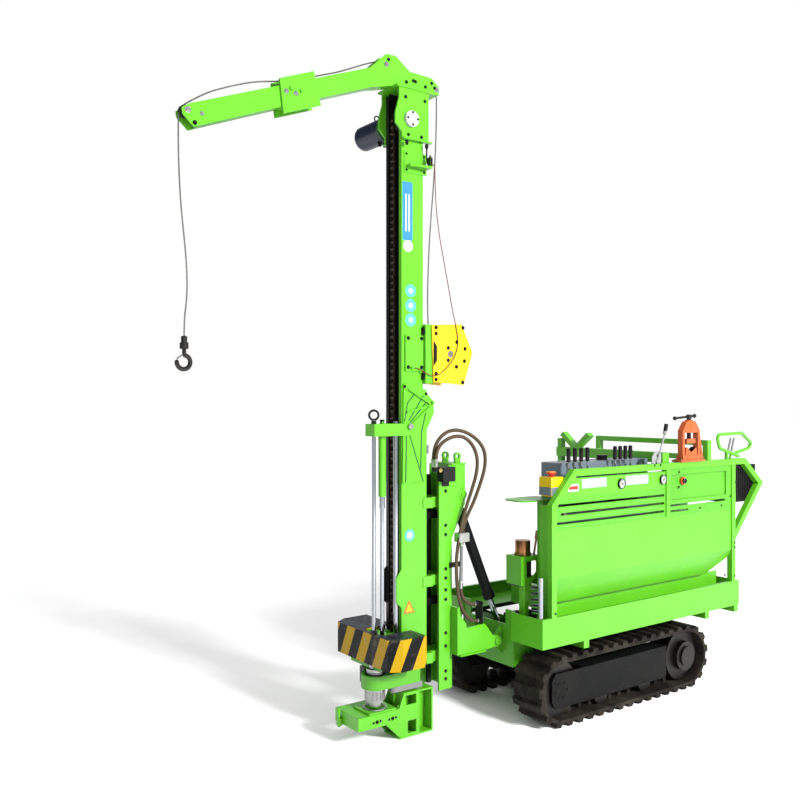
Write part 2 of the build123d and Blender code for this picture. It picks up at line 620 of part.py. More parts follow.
# Fittings on the console's top rail
RAIL_Y = (FRAME_Y[0] + FRAME_Y[1]) / 2
VISE_X = -622.0             # middle of the vise
VISE_BASE = 129.0           # half length of its base
VISE_HALF = 93.0            # half width of the yoke
VISE_TOP = 1760.0
VISE_LEG = 22.0
VISE_Y = (RAIL_Y - 24, RAIL_Y + 16)
VISE_SCREW_TOP = VISE_TOP + 42


def pipe_vise():
    """Yoke pipe vise: base, notched lower jaw, arched yoke with its brace, screw, shoe and bar."""
    low = FRAME_RAIL_Z
    shoulder = VISE_TOP - 62
    base = block(VISE_X - VISE_BASE, VISE_X + VISE_BASE, RAIL_Y - 45, RAIL_Y + 32, low + GAP, low + 14)
    base += block(VISE_X - VISE_HALF - 6, VISE_X + VISE_HALF + 6, RAIL_Y - 30, RAIL_Y + 22, low + 13,
                  low + 44)
    jaw = side_plate([(VISE_X - 62, low + 43), (VISE_X + 62, low + 43), (VISE_X + 54, low + 96),
                      (VISE_X, low + 62), (VISE_X - 54, low + 96)], *VISE_Y)
    outline = make_face(Polyline((VISE_X - VISE_HALF, low + 40), (VISE_X + VISE_HALF, low + 40),
                                 (VISE_X + VISE_HALF, shoulder), (VISE_X + 44, VISE_TOP),
                                 (VISE_X - 44, VISE_TOP), (VISE_X - VISE_HALF, shoulder), close=True))
    corners = [v for v in outline.vertices() if v.Y > low + 60]
    outline = fillet(corners, 30)
    inner = VISE_HALF - VISE_LEG
    opening = make_face(Polyline((VISE_X - inner, low + 39), (VISE_X + inner, low + 39),
                                 (VISE_X + inner, shoulder - 14), (VISE_X - inner, shoulder - 14),
                                 close=True))
    yoke = Pos(0, VISE_Y[1], 0) * (Rot(90, 0, 0) * extrude(outline - opening, amount=VISE_Y[1] - VISE_Y[0]))
    brace = side_plate([(VISE_X - VISE_HALF + 4, low + 200), (VISE_X - VISE_HALF + 4, low + 175),
                        (VISE_X - VISE_BASE + 22, low + 13), (VISE_X - VISE_BASE, low + 13)], *VISE_Y)
    boss = upright(VISE_X, RAIL_Y - 4, 27, VISE_TOP - 70, VISE_TOP + 8)
    screw = upright(VISE_X, RAIL_Y - 4, 13, low + 150, VISE_SCREW_TOP)
    shoe = block(VISE_X - 46, VISE_X + 46, RAIL_Y - 22, RAIL_Y + 14, low + 122, low + 152)
    bar_z = VISE_SCREW_TOP - 14
    ends = ((VISE_X - 60, bar_z + 6), (VISE_X + 150, bar_z - 8))
    handle = bar((ends[0][0], RAIL_Y - 4, ends[0][1]), (ends[1][0], RAIL_Y - 4, ends[1][1]), 7)
    for x, z in ends:
        handle += Pos(x, RAIL_Y - 4, z) * Sphere(13)
    return base + jaw + yoke + brace + boss + screw + shoe + handle


THROTTLE_X = -276.0


def throttle_lever():
    """Toothed quadrant with its long lever."""
    low, turn_z = FRAME_RAIL_Z + GAP, FRAME_RAIL_Z + 14
    quadrant = side_plate([(THROTTLE_X - 45, low), (THROTTLE_X + 45, low), (THROTTLE_X + 45, low + 40),
                           (THROTTLE_X + 22, low + 72), (THROTTLE_X - 10, low + 83),
                           (THROTTLE_X - 45, low + 62)],
                          RAIL_Y - 4, RAIL_Y + 3)
    quadrant -= disc(THROTTLE_X - 8, turn_z + 38, 9, RAIL_Y - 5, RAIL_Y + 4)
    lever = bar((THROTTLE_X, RAIL_Y + 8, turn_z), (THROTTLE_X - 80, RAIL_Y + 8, 1690), 6)
    lever += bar((THROTTLE_X - 76, RAIL_Y + 8, 1680), (THROTTLE_X - 92, RAIL_Y + 8, 1745), 13)
    return quadrant + lever + disc(THROTTLE_X, turn_z, 12, RAIL_Y - 4, RAIL_Y + 14)


HANDLE_TUBE = 11.0
HANDLE_LIFT = 5.0


def rear_handle():
    """Bent tube guard at the rear end of the rail, round two small levers."""
    z = FRAME_RAIL_Z + HANDLE_TUBE + HANDLE_LIFT
    path = FilletPolyline((-1180, RAIL_Y, z), (-960, RAIL_Y, z + 60), (-925, RAIL_Y, z + 155),
                          (-1220, RAIL_Y, z + 160), (-1425, RAIL_Y - 30, z + 60),
                          (-1200, RAIL_Y - 60, z + 10), radius=30)
    tube = sweep(Plane(origin=path @ 0, z_dir=path % 0) * Circle(HANDLE_TUBE), path=path)
    tube += block(-1050, -1030, RAIL_Y - 8, RAIL_Y + 8, FRAME_RAIL_Z, z + 40)
    levers = [bar((x, RAIL_Y - 12, FRAME_RAIL_Z + 8), (x - 60, RAIL_Y - 20, z + 125), 7)
              + upright(x, RAIL_Y - 12, 8, FRAME_RAIL_Z, FRAME_RAIL_Z + 12) for x in (-1060, -1100)]
    return tube, levers


STOP_X = (556.0, 656.0)
STOP_Y = (FRAME_Y[0] - 98.0, FRAME_Y[0] - GAP)
STOP_Z = (1342.0, 1450.0)


def stop_box():
    """Emergency stop box on a bracket at the console's front shoulder."""
    x, y = sum(STOP_X) / 2, sum(STOP_Y) / 2
    box = block(*STOP_X, *STOP_Y, *STOP_Z)
    box += upright(x, y, 14, STOP_Z[1] - 1, STOP_Z[1] + 16)
    box += upright(x, y, 27, STOP_Z[1] + 15, STOP_Z[1] + 30)
    return box + block(STOP_X[0] - 10, STOP_X[1] - 20, *STOP_Y, STOP_Z[0] - 8, STOP_Z[0] + 0.1)


SHELF_X = (475.0, 770.0)
SHELF_Y = (TANK_Y[0] - 27.0, TANK_Y[1] - 5.0)
SHELF_Z = 1300.0
SHELF_POST_X = (560.0, 610.0)
SHELF_POST_Y = (TANK_Y[1] - 55.0, TANK_Y[1] - 10.0)


def shelf():
    """Small round-cornered shelf plate on a post beside the tank."""
    plate = block(*SHELF_X, *SHELF_Y, SHELF_Z, SHELF_Z + 8)
    plate = fillet(plate.edges().filter_by(Axis.Z), 60)
    return plate + block(*SHELF_POST_X, *SHELF_POST_Y, FLOOR_TOP, SHELF_Z + 1)


STAND_X = (573.0, 728.0)
STAND_Y = (148.0, 278.0)
STAND_Z = (800.0, 970.0)
STAND_SHEET = 7.0
STAND_POST_Y = (STAND_Y[1] - 40, STAND_Y[1])
VALVE_X = (618.0, 712.0)
VALVE_Z = (790.0, STAND_Z[1] - STAND_SHEET)
VALVE_CAP = (646.0, 205.0, 45.0)       # x, y and radius
VALVE_CAP_HIGH = 85.0


def valve_stand():
    """Folded stand with the changeover valve under its top plate, a round cap and a lever."""
    top = block(*STAND_X, *STAND_Y, STAND_Z[1] - STAND_SHEET, STAND_Z[1])
    front = block(STAND_X[1] - STAND_SHEET, STAND_X[1], *STAND_Y, *STAND_Z)
    foot_x = STAND_X[0] + 75
    side = side_plate([(STAND_X[0], STAND_Z[0] + 60), (STAND_X[0], STAND_Z[1] - 1),
                       (STAND_X[1] - 1, STAND_Z[1] - 1), (STAND_X[1] - 1, STAND_Z[0]),
                       (foot_x, STAND_Z[0]), (foot_x, STAND_Z[0] + 15)], STAND_Y[1] - STAND_SHEET, STAND_Y[1])
    side -= side_plate([(STAND_X[0] + 30, STAND_Z[0] + 72), (STAND_X[0] + 30, STAND_Z[1] - 30),
                        (STAND_X[1] - 45, STAND_Z[1] - 30), (STAND_X[1] - 45, STAND_Z[0] + 45),
                        (STAND_X[0] + 60, STAND_Z[0] + 45)], STAND_Y[1] - 20, STAND_Y[1] + 1)
    valve = block(*VALVE_X, STAND_Y[0] + 8, STAND_Y[1] - 20, *VALVE_Z)
    valve = chamfer(valve.edges().filter_by(Axis.Z), 8)
    post = block(STAND_X[1] - 60, STAND_X[1] - 20, *STAND_POST_Y, FLOOR_TOP, STAND_Z[0] + 40)
    cap_x, cap_y, cap_radius = VALVE_CAP
    cap = upright(cap_x, cap_y, cap_radius, STAND_Z[1] - 0.5, STAND_Z[1] + VALVE_CAP_HIGH)
    cap += upright(cap_x, cap_y, cap_radius + 5, STAND_Z[1] - 0.5, STAND_Z[1] + 14)
    lever = bar((STAND_X[0] + 12, STAND_Y[1] - 40, STAND_Z[1] - 2),
                (STAND_X[0] - 6, STAND_Y[1] - 34, 1092), 7)
    lever += bar((STAND_X[0] - 1, STAND_Y[1] - 36, 1062), (STAND_X[0] - 9, STAND_Y[1] - 33, 1112), 10)
    return top + front + side + valve + post + cap + lever


COUPLER_X, COUPLER_Y = 745.0, DECK_HALF - 35.0


def coupler_post():
    """Steel tube at the deck's front corner with the hydraulic couplers on it."""
    tube = upright(COUPLER_X, COUPLER_Y, 15, DECK_TOP + 0.3, 880)
    for z in (680, 715, 750, 785, 820):
        tube += bar((COUPLER_X, COUPLER_Y, z), (COUPLER_X - 5, COUPLER_Y - 70, z - 10), 12)
    return tube


# Mast support
BRACKET_Y = (135.0, 150.0)
SUPPORT_UPPER_X = 1003.0
SUPPORT_UPPER_TOP = 1523.0
SUPPORT_WEB = 8.0
TILT_TOP_X, TILT_TOP_Z = 1022.0, 1345.0
TILT_PIN_RADIUS = 14.0
TILT_BOSS_RADIUS = 30.0
STRIP_X = (1140.0, 1165.0)         # strips that hold the mast's shoes in the slide
STRIP_Y = 60.0
BACK_PLATE = 16.0
BACK_PLATE_X = SUPPORT_REAR_X + SUPPORT_WEB - BACK_PLATE
BACK_PLATE_Z = (425.0, 700.0)
BRACKET_POINTS = [(BACK_PLATE_X, BACK_PLATE_Z[1]), (BACK_PLATE_X - 6, 655), (1045, 600), (1040, 572),
                  (905, 580), (885, 562), (838, 500), (PIVOT_X - 10, PIVOT_Z + 30),
                  (PIVOT_X - 10, PIVOT_Z - 30), (838, 428), (885, BACK_PLATE_Z[0]),
                  (BACK_PLATE_X, BACK_PLATE_Z[0])]
LIFT_EYE_X, LIFT_EYE_Z = 1035.0, 1569.0
LIFT_EYE_RADIUS = 12.0
LIFT_EYE_Y = (48.0, 62.0)


def mast_support():
    """Upright slide frame with its back plate and cylinder pin."""
    web_front = SUPPORT_REAR_X + SUPPORT_WEB
    outline = [(SUPPORT_FRONT_X, SUPPORT_LOW), (SUPPORT_FRONT_X, SUPPORT_TOP), (1130, SUPPORT_TOP),
               (1130, SUPPORT_UPPER_TOP), (SUPPORT_UPPER_X, SUPPORT_UPPER_TOP), (SUPPORT_UPPER_X, 1293),
               (1091, 1118), (SUPPORT_REAR_X, 1090), (SUPPORT_REAR_X, SUPPORT_LOW)]
    plate = side_plate(outline, SUPPORT_HALF - SUPPORT_PLATE, SUPPORT_HALF)
    plate += disc(TILT_TOP_X, TILT_TOP_Z, TILT_BOSS_RADIUS, SUPPORT_HALF - SUPPORT_PLATE, SUPPORT_HALF + 3)
    strip = block(*STRIP_X, STRIP_Y, SUPPORT_HALF - SUPPORT_PLATE + 0.1, SUPPORT_LOW, SUPPORT_TOP)
    body = block(SUPPORT_REAR_X, web_front, -SUPPORT_HALF + 1, SUPPORT_HALF - 1, SUPPORT_LOW,
                 SUPPORT_UPPER_TOP)
    body += block(BACK_PLATE_X, web_front - 0.2, -BRACKET_Y[1], BRACKET_Y[1], *BACK_PLATE_Z)
    for piece in (plate, strip):
        body += piece
        body += mirrored(piece)
    body += block(SUPPORT_UPPER_X - 6, web_front, -SUPPORT_HALF - 6, SUPPORT_HALF + 6,
                  SUPPORT_UPPER_TOP - 1, SUPPORT_UPPER_TOP + 7)
    body += disc(TILT_TOP_X, TILT_TOP_Z, TILT_PIN_RADIUS, -SUPPORT_HALF - 8, SUPPORT_HALF + 8)
    return body


def pivot_bracket():
    """Two arms welded to the back plate that reach back to the pivot, and the pivot pin."""
    arm = side_plate(BRACKET_POINTS, *BRACKET_Y)
    arm += disc(PIVOT_X, PIVOT_Z, PIVOT_BOSS_RADIUS, *BRACKET_Y)
    arm += block(900, BACK_PLATE_X, BRACKET_Y[0], BRACKET_Y[1] + 12, BACK_PLATE_Z[0] - 8,
                 BACK_PLATE_Z[0] + 0.1)
    arm -= disc(PIVOT_X, PIVOT_Z, PIVOT_PIN_RADIUS + FIT, BRACKET_Y[0] - 1, BRACKET_Y[1] + 1)
    pin = disc(PIVOT_X, PIVOT_Z, PIVOT_PIN_RADIUS, -BRACKET_Y[1] - 8, BRACKET_Y[1] + 8)
    head = disc(PIVOT_X, PIVOT_Z, PIVOT_PIN_RADIUS + 8, BRACKET_Y[1] + GAP, BRACKET_Y[1] + 8)
    return arm, mirrored(arm), pin + head + mirrored(head)


def lifting_eyes():
    """Two lifting eyes on the slide frame's top plate."""
    eye = block(LIFT_EYE_X - 20, LIFT_EYE_X + 20, *LIFT_EYE_Y, SUPPORT_UPPER_TOP + 7, LIFT_EYE_Z - 4)
    eye += disc(LIFT_EYE_X, LIFT_EYE_Z - 2, LIFT_EYE_RADIUS * 2, *LIFT_EYE_Y)
    eye -= disc(LIFT_EYE_X, LIFT_EYE_Z, LIFT_EYE_RADIUS, LIFT_EYE_Y[0] - 1, LIFT_EYE_Y[1] + 1)
    return eye, mirrored(eye)


HOSE_RADIUS = 10.5
HOSE_Y = (107.0, 131.0)            # outer loop and inner loop
HOSE_START_X = 1254.0
HOSE_START_Z = 1532.0
HOSE_ENDS_X = 926.0                # front face of the bulkhead
PIPE_ENDS = ((1042.7, 1073.0), (1050.0, 822.0))     # top and foot of the steel pipe, x and z
MANIFOLD_X = (1126.0, 1215.0)
MANIFOLD_Z = (1432.0, 1515.0)
HOSE_ROUTES = {
    "outer": [(HOSE_START_X, HOSE_START_Z), (1254, 1585), (1238, 1648), (1192, 1697), (1133, 1724),
              (1057, 1725), (981, 1700), (911, 1657), (867, 1602), (857, 1536), (871, 1467), (907, 1384),
              (950, 1298), (994, 1229), (1028.3, 1169.3), (1041.3, 1121), PIPE_ENDS[0]],
    "lower": [PIPE_ENDS[1], (1051.2, 782), (1035.3, 741), (1004.7, 709.4), (964.2, 692.2),
              (HOSE_ENDS_X, 692.2)],
    "inner": [(HOSE_START_X, HOSE_START_Z), (1254, 1572), (1246, 1612), (1222, 1646), (1184, 1670),
              (1140, 1686), (1094, 1691), (1047, 1685), (994, 1652), (956, 1600), (940, 1535), (951, 1459),
              (986, 1373),
              (1024, 1288), (1055, 1203), (1075, 1130), (1092, 1058), (1104, 976), (1103, 893), (1097, 814),
              (1081, 730), (1046, 655), (1010, 618), (966, 600), (HOSE_ENDS_X, 600)]}


def support_manifold():
    """Hose block on the slide frame with its elbows, the steel pipe with its clip, and the bulkhead."""
    body = block(MANIFOLD_X[0], 1180, SUPPORT_HALF, 92, MANIFOLD_Z[0] - 32, MANIFOLD_Z[1])
    body += block(*MANIFOLD_X, 92, 150, *MANIFOLD_Z)
    for y in HOSE_Y:
        elbow = bar((MANIFOLD_X[1] - 1, y, 1498), (HOSE_START_X, y, 1498), 9)
        elbow += Pos(HOSE_START_X, y, 1498) * Sphere(9) + upright(HOSE_START_X, y, 9, 1498, HOSE_START_Z)
        body += elbow
    (top_x, top_z), (foot_x, foot_z) = PIPE_ENDS
    pipe = bar((top_x, HOSE_Y[0], top_z - GAP), (foot_x, HOSE_Y[0], foot_z + GAP), HOSE_RADIUS)
    clip_y = HOSE_Y[0] - HOSE_RADIUS - GAP
    clip = block(foot_x - 14, SUPPORT_REAR_X + 22, SUPPORT_HALF, clip_y, 925, 955)
    plate = block(HOSE_ENDS_X - 8, HOSE_ENDS_X, SUPPORT_HALF + 5, BRACKET_Y[1] + 2, 575, 712)
    plate -= side_plate(BRACKET_POINTS, BRACKET_Y[0] - 50, BRACKET_Y[1] + 10)
    ends = zip(HOSE_Y, (HOSE_ROUTES["lower"][-1][1], HOSE_ROUTES["inner"][-1][1]))
    for y, z in ends:
        plate += bar((HOSE_ENDS_X - 34, y, z), (HOSE_ENDS_X - 7, y, z), 8)
    return body, pipe, clip, plate


def support_hoses():
    """Pressure hoses: the outer one with a steel pipe in it, the inner one whole, down to the bulkhead."""
    outer, inner = HOSE_Y
    return [cord_tube(f"hose {name}", [(x, y, z) for x, z in HOSE_ROUTES[name]], HOSE_RADIUS)
            for name, y in (("outer", outer), ("lower", outer), ("inner", inner))]


WIRE_RADIUS = 2.5
WIRE_POINTS = [(1282.9, 124.0, 3238.0), (1270, 124, 3238), (1260, 123.5, 3229), (1256, 123, 3214),
               (1254, 121, 3190), (1251, 119, 3140), (1246, 117, 3060), (1238, 116, 2970), (1226, 116, 2890),
               (1211, 116, 2810), (1193, 116, 2735), (1176, 116, 2660), (1158, 116, 2585), (1141, 116, 2510),
               (1125, 116, 2440), (1107, 116, 2370), (1088, 115, 2310), (1078, 115, 2255), (1081, 115, 2205),
               (1099, 115, 2158), (1132, 115, 2113), (1175, 115, 2073), (1222, 115, 2043), (1265, 115, 2036),
               (1307, 108, 2050), (1336, 96, 2071), (1360, 88.2, 2081), (1384, 88.2, 2081)]


def mast_wire():
    """Thin wire from the limit switch down over the winch's plate to its clip on the cheek."""
    return cord_tube("mast_wire", WIRE_POINTS, WIRE_RADIUS)


# Tilt cylinder
TILT_LENGTH = hypot(TILT_TOP_X - ROD_EYE_X, TILT_TOP_Z - ROD_EYE_Z)
TILT_DIR = Vector(ROD_EYE_X - TILT_TOP_X, 0, ROD_EYE_Z - TILT_TOP_Z) / TILT_LENGTH
TILT_BARREL_RADIUS = 33.0
TILT_ROD_RADIUS = 18.0
TILT_BARREL_END = 720.0            # from the top pin
TILT_ROD_START = 380.0             # from the top pin, inside the barrel
TILT_BORE_START = 200.0


def along_tilt(distance):
    """Point on the tilt cylinder's axis, from its top pin."""
    point = Vector(TILT_TOP_X, 0, TILT_TOP_Z) + TILT_DIR * distance
    return (point.X, point.Y, point.Z)


def tilt_barrel():
    """Barrel with its top eye, gland and ports, bored for the rod."""
    barrel = bar(along_tilt(24), along_tilt(TILT_BARREL_END), TILT_BARREL_RADIUS)
    barrel += disc(TILT_TOP_X, TILT_TOP_Z, TILT_BOSS_RADIUS, -28, 28)
    barrel += bar(along_tilt(TILT_BARREL_END - 40), along_tilt(TILT_BARREL_END - 1), TILT_BARREL_RADIUS + 4)
    barrel -= disc(TILT_TOP_X, TILT_TOP_Z, TILT_PIN_RADIUS + FIT, -40, 40)
    return barrel - bar(along_tilt(TILT_BORE_START), along_tilt(TILT_BARREL_END + 1), TILT_ROD_RADIUS + FIT)


def tilt_rod():
    """Chrome rod with the eye at its lower end."""
    rod = bar(along_tilt(TILT_ROD_START), along_tilt(TILT_LENGTH - 20), TILT_ROD_RADIUS)
    return rod + disc(ROD_EYE_X, ROD_EYE_Z, 28, -26, 26)


# Slide cylinder between the support and the mast
SLIDE_X = 1248.0
SLIDE_RADIUS = 30.0
SLIDE_ROD_RADIUS = 15.0
SLIDE_BARREL_Z = (700.0, 1330.0)
SLIDE_EYE_Z = 1590.0


def slide_barrel():
    """Barrel that lifts the mast in its slide, held by two brackets on the support."""
    low, top = SLIDE_BARREL_Z
    barrel = upright(SLIDE_X, 0, SLIDE_RADIUS, low, top)
    for z in (low + 10, top - 120):
        barrel += block(SUPPORT_REAR_X + SUPPORT_WEB, SLIDE_X - 10, -22, 22, z, z + 40)
    return barrel - upright(SLIDE_X, 0, SLIDE_ROD_RADIUS + FIT, low + 20, top + 1)


def slide_rod():
    """Rod of the slide cylinder, with its eye plate on the back of the mast."""
    rod = upright(SLIDE_X, 0, SLIDE_ROD_RADIUS, SLIDE_BARREL_Z[0] + 60, SLIDE_EYE_Z + 1)
    return rod + block(SLIDE_X - 20, MAST_REAR_X, -30, 30, SLIDE_EYE_Z, SLIDE_EYE_Z + 50)


# Mast
RECESS_X = 1388.0
RECESS_HALF = 50.0
SHOE_Z = (1310.0, 860.0, 420.0)
SHOE_HALF = 30.0
SHOE_Y = (40.0, 59.7)
RAIL_X = 1275.0
RAIL_Z = (345.0 + 40, 1960.0)
RAIL_BAR_Y = (40.0, 70.0)
BULGE_FRONT_X = 1491.0
CHAIN_FRONT_X = 1462.0
SPROCKET_X = 1400.0
SPROCKET_Z = 3480.0
CHAIN_LOW_Z = 460.0
CHAIN_RADIUS = CHAIN_FRONT_X - SPROCKET_X
SPROCKET_SHAFT = 16.0


def mast_column():
    """Box section mast with an open channel in front, and rails and slide shoes behind."""
    column = block(MAST_REAR_X, MAST_FRONT_X, -MAST_HALF, MAST_HALF, MAST_LOW, MAST_TOP)
    column -= block(RECESS_X, MAST_FRONT_X + 1, -RECESS_HALF, RECESS_HALF, MAST_LOW - 1, MAST_TOP + 1)
    column -= block(MAST_REAR_X + MAST_WALL, RECESS_X - MAST_WALL, -MAST_HALF + MAST_WALL,
                    MAST_HALF - MAST_WALL, MAST_LOW - 1, MAST_TOP + 1)
    for z0, z1 in ((MAST_LOW - 1, CHAIN_LOW_Z + CHAIN_RADIUS), (SPROCKET_Z - CHAIN_RADIUS, MAST_TOP + 1)):
        column -= block(RECESS_X - MAST_WALL - 1, RECESS_X + 1, -24, 24, z0, z1)
    for z in (SPROCKET_Z, CHAIN_LOW_Z):
        column -= disc(SPROCKET_X, z, SPROCKET_SHAFT + FIT, -MAST_HALF - 1, MAST_HALF + 1)
    bulge = side_plate([(MAST_FRONT_X - 1, 735), (BULGE_FRONT_X, 765), (BULGE_FRONT_X, 905),
                        (MAST_FRONT_X - 1, 950)], MAST_HALF - MAST_WALL, MAST_HALF)
    rail = block(RAIL_X, MAST_REAR_X + 1, *RAIL_BAR_Y, *RAIL_Z)
    shoes = None
    for z in SHOE_Z:
        z0, z1 = z - SHOE_HALF, z + SHOE_HALF
        shoe = block(SUPPORT_REAR_X + SUPPORT_WEB + GAP, STRIP_X[0] - GAP, SHOE_Y[0],
                     SUPPORT_HALF - SUPPORT_PLATE - GAP, z0, z1)
        shoe += block(STRIP_X[0] - GAP - 1, RAIL_X + 1, *SHOE_Y, z0, z1)
        shoe += block(1236, MAST_REAR_X + 1, SHOE_Y[0], MAST_HALF + 5, z0, z1)
        shoes = shoe if shoes is None else shoes + shoe
    for piece in (bulge, rail, shoes):
        column += piece
        column += mirrored(piece)
    return column


RING_LOW, RING_TOP = 300.0, MAST_LOW
RING_RADIUS = 78.0
RING_HOLE = 60.5


def ring_arm():
    """Arm under the mast that ends in a ring round the spindle."""
    arm = block(1326, SPINDLE_X, -RING_RADIUS, RING_RADIUS, RING_LOW, RING_TOP)
    arm += upright(SPINDLE_X, 0, RING_RADIUS, RING_LOW, RING_TOP)
    arm -= block(1400, 1500, -RING_RADIUS + 12, RING_RADIUS - 12, RING_LOW + 12, RING_TOP - 12)
    return arm - upright(SPINDLE_X, 0, RING_HOLE, RING_LOW - 1, RING_TOP + 1)


def ring_fittings():
    """Latch bar beside the foot's column, and the switch box on the ring's far side."""
    latch = block(1310, 1490, 20, 76, 268, 299.9) + upright(1490, 48, 28, 268, 299.9)
    switch = block(1575, 1607, -120, -RING_RADIUS, 302, 392)
    return latch, switch


# Crosshead, rods and feed cylinder
GUSSET_PLATE = 10.0
GUSSET_POINTS = [(1455, 1432), (1447, 1990), (1420, 1996), (1321, 1971), (1237, 1894), (1233, 1825),
                 (1283, 1732), (1292, 1437)]
ARM_X = (1457.0, 1652.0)
ARM_Y = (4.0, MAST_HALF + GUSSET_PLATE + 8)
FRONT_ROD = (1618.0, 37.0)
REAR_ROD = (1478.0, 50.0)
FEED = (1567.0, 44.0)
FRONT_ROD_RADIUS = 12.0
REAR_ROD_RADIUS = 14.0
FEED_BARREL_RADIUS = 21.5
FEED_ROD_RADIUS = 12.0
FEED_BARREL_LOW = 1300.0
ROD_SEAT_Z = 590.0                 # top of the head's housing, where the rods stand
ROD_TOP_Z = CROSSHEAD_TOP + 14
EYE_RADIUS = 26.0


def crosshead():
    """Gusset plates on the mast and the arm that guides the head's two rods."""
    gusset = side_plate(GUSSET_POINTS, MAST_HALF, MAST_HALF + GUSSET_PLATE)
    arm = block(*ARM_X, *ARM_Y, CROSSHEAD_LOW, CROSSHEAD_TOP)
    arm += block(1400, ARM_X[0] + 1, MAST_HALF + GUSSET_PLATE - 0.1, ARM_Y[1], CROSSHEAD_LOW, CROSSHEAD_TOP)
    arm += block(MAST_FRONT_X, ARM_X[0] + 1, 20, ARM_Y[1], CROSSHEAD_LOW, CROSSHEAD_TOP)
    arm -= block(MAST_FRONT_X - 1, 1480, 3, 20, CROSSHEAD_LOW - 1, CROSSHEAD_TOP + 1)
    pin_z = (CROSSHEAD_LOW + CROSSHEAD_TOP) / 2 + 18
    pin = disc(1412, pin_z, 17, MAST_HALF + GUSSET_PLATE - 0.1, ARM_Y[1] + 7)
    grey_pin = disc(1246, 1885, 9, MAST_HALF + GUSSET_PLATE - 0.1, MAST_HALF + GUSSET_PLATE + 14)
    body = gusset + arm + pin + grey_pin
    ribs = (((1264, 1877), (1420, 1960)), ((1266, 1872), (1430, 1830)), ((1262, 1866), (1400, 1760)))
    for start, end in ribs:
        run = atan2(end[1] - start[1], end[0] - start[0])
        nx, nz = -4 * sin(run), 4 * cos(run)
        rib = side_plate([(start[0] + nx, start[1] + nz), (start[0] - nx, start[1] - nz),
                          (end[0] - nx, end[1] - nz), (end[0] + nx, end[1] + nz)],
                         MAST_HALF + GUSSET_PLATE - 0.1, MAST_HALF + GUSSET_PLATE + 12)
        body += rib
    body -= upright(*FRONT_ROD, FRONT_ROD_RADIUS + FIT, CROSSHEAD_LOW - 1, CROSSHEAD_TOP + 1)
    body -= upright(*REAR_ROD, REAR_ROD_RADIUS + FIT, CROSSHEAD_LOW - 1, CROSSHEAD_TOP + 1)
    bolt = upright(*FEED, 13, CROSSHEAD_TOP - 1, CROSSHEAD_TOP + 12)
    return [body + bolt, mirrored(gusset)]


def feed_barrel():
    """Barrel of the feed cylinder, hung under the arm and bored for its rod."""
    barrel = upright(*FEED, FEED_BARREL_RADIUS, FEED_BARREL_LOW, CROSSHEAD_LOW)
    barrel += upright(*FEED, FEED_BARREL_RADIUS + 3, FEED_BARREL_LOW, FEED_BARREL_LOW + 24)
    return barrel - upright(*FEED, FEED_ROD_RADIUS + FIT, FEED_BARREL_LOW - 1, CROSSHEAD_LOW - 5)


def head_rods():
    """The head's two polished rods and the feed cylinder's rod; a lifting eye tops the first."""
    front = upright(*FRONT_ROD, FRONT_ROD_RADIUS, GUARD_TOP, ROD_TOP_Z)
    front += upright(*FRONT_ROD, FRONT_ROD_RADIUS - 3, ROD_TOP_Z - 1, ROD_TOP_Z + 10)
    ring = Rot(0, 0, 54) * (Rot(90, 0, 0) * Torus(EYE_RADIUS, 6.5))
    front += Pos(*FRONT_ROD, ROD_TOP_Z + 8 + EYE_RADIUS) * ring
    rear = upright(*REAR_ROD, REAR_ROD_RADIUS, ROD_SEAT_Z, ROD_TOP_Z)
    feed = upright(*FEED, FEED_ROD_RADIUS, ROD_SEAT_Z, FEED_BARREL_LOW + 20)
    return front, rear, feed


# Chain
CHAIN_HALF = 13.0
CHAIN_LINK = 38.1
CHAIN_THICK = 7.0
LINK_WIDE = 11.0
LINK_NARROW = 7.5


def feed_chain():
    """Endless chain: waisted links on the front run, plain behind."""
    links = int((SPROCKET_Z - CHAIN_LOW_Z) / CHAIN_LINK)
    outline = [(CHAIN_FRONT_X - CHAIN_THICK, SPROCKET_Z), (CHAIN_FRONT_X - CHAIN_THICK, CHAIN_LOW_Z)]
    for link in range(links):
        z = CHAIN_LOW_Z + link * CHAIN_LINK
        outline += [(CHAIN_FRONT_X + LINK_WIDE, z + 8), (CHAIN_FRONT_X + LINK_NARROW, z + CHAIN_LINK / 2)]
    outline += [(CHAIN_FRONT_X + LINK_WIDE, SPROCKET_Z)]
    chain = side_plate(outline, -CHAIN_HALF, CHAIN_HALF)
    rear_x = SPROCKET_X - CHAIN_RADIUS
    chain += block(rear_x - CHAIN_THICK, rear_x + CHAIN_THICK, -CHAIN_HALF, CHAIN_HALF, CHAIN_LOW_Z,
                   SPROCKET_Z)
    for z, way in ((SPROCKET_Z, 1), (CHAIN_LOW_Z, -1)):
        ring = disc(SPROCKET_X, z, CHAIN_RADIUS + CHAIN_THICK, -CHAIN_HALF, CHAIN_HALF)
        ring -= disc(SPROCKET_X, z, CHAIN_RADIUS - CHAIN_THICK, -CHAIN_HALF - 1, CHAIN_HALF + 1)
        z0, z1 = sorted((z - way * 1.0, z + way * 100.0))
        chain += ring & block(SPROCKET_X - 100, SPROCKET_X + 100, -50, 50, z0, z1)
    return chain


def chain_wheels():
    """Drive wheel at the top and the return wheel at the bottom, with their shafts."""
    made = []
    for z, reach in ((SPROCKET_Z, MAST_HALF + HEAD_PLATE - 0.1), (CHAIN_LOW_Z, MAST_HALF)):
        wheel = disc(SPROCKET_X, z, CHAIN_RADIUS - CHAIN_THICK - GAP, -9, 9)
        made.append(wheel + disc(SPROCKET_X, z, SPROCKET_SHAFT, -reach, reach))
    return made


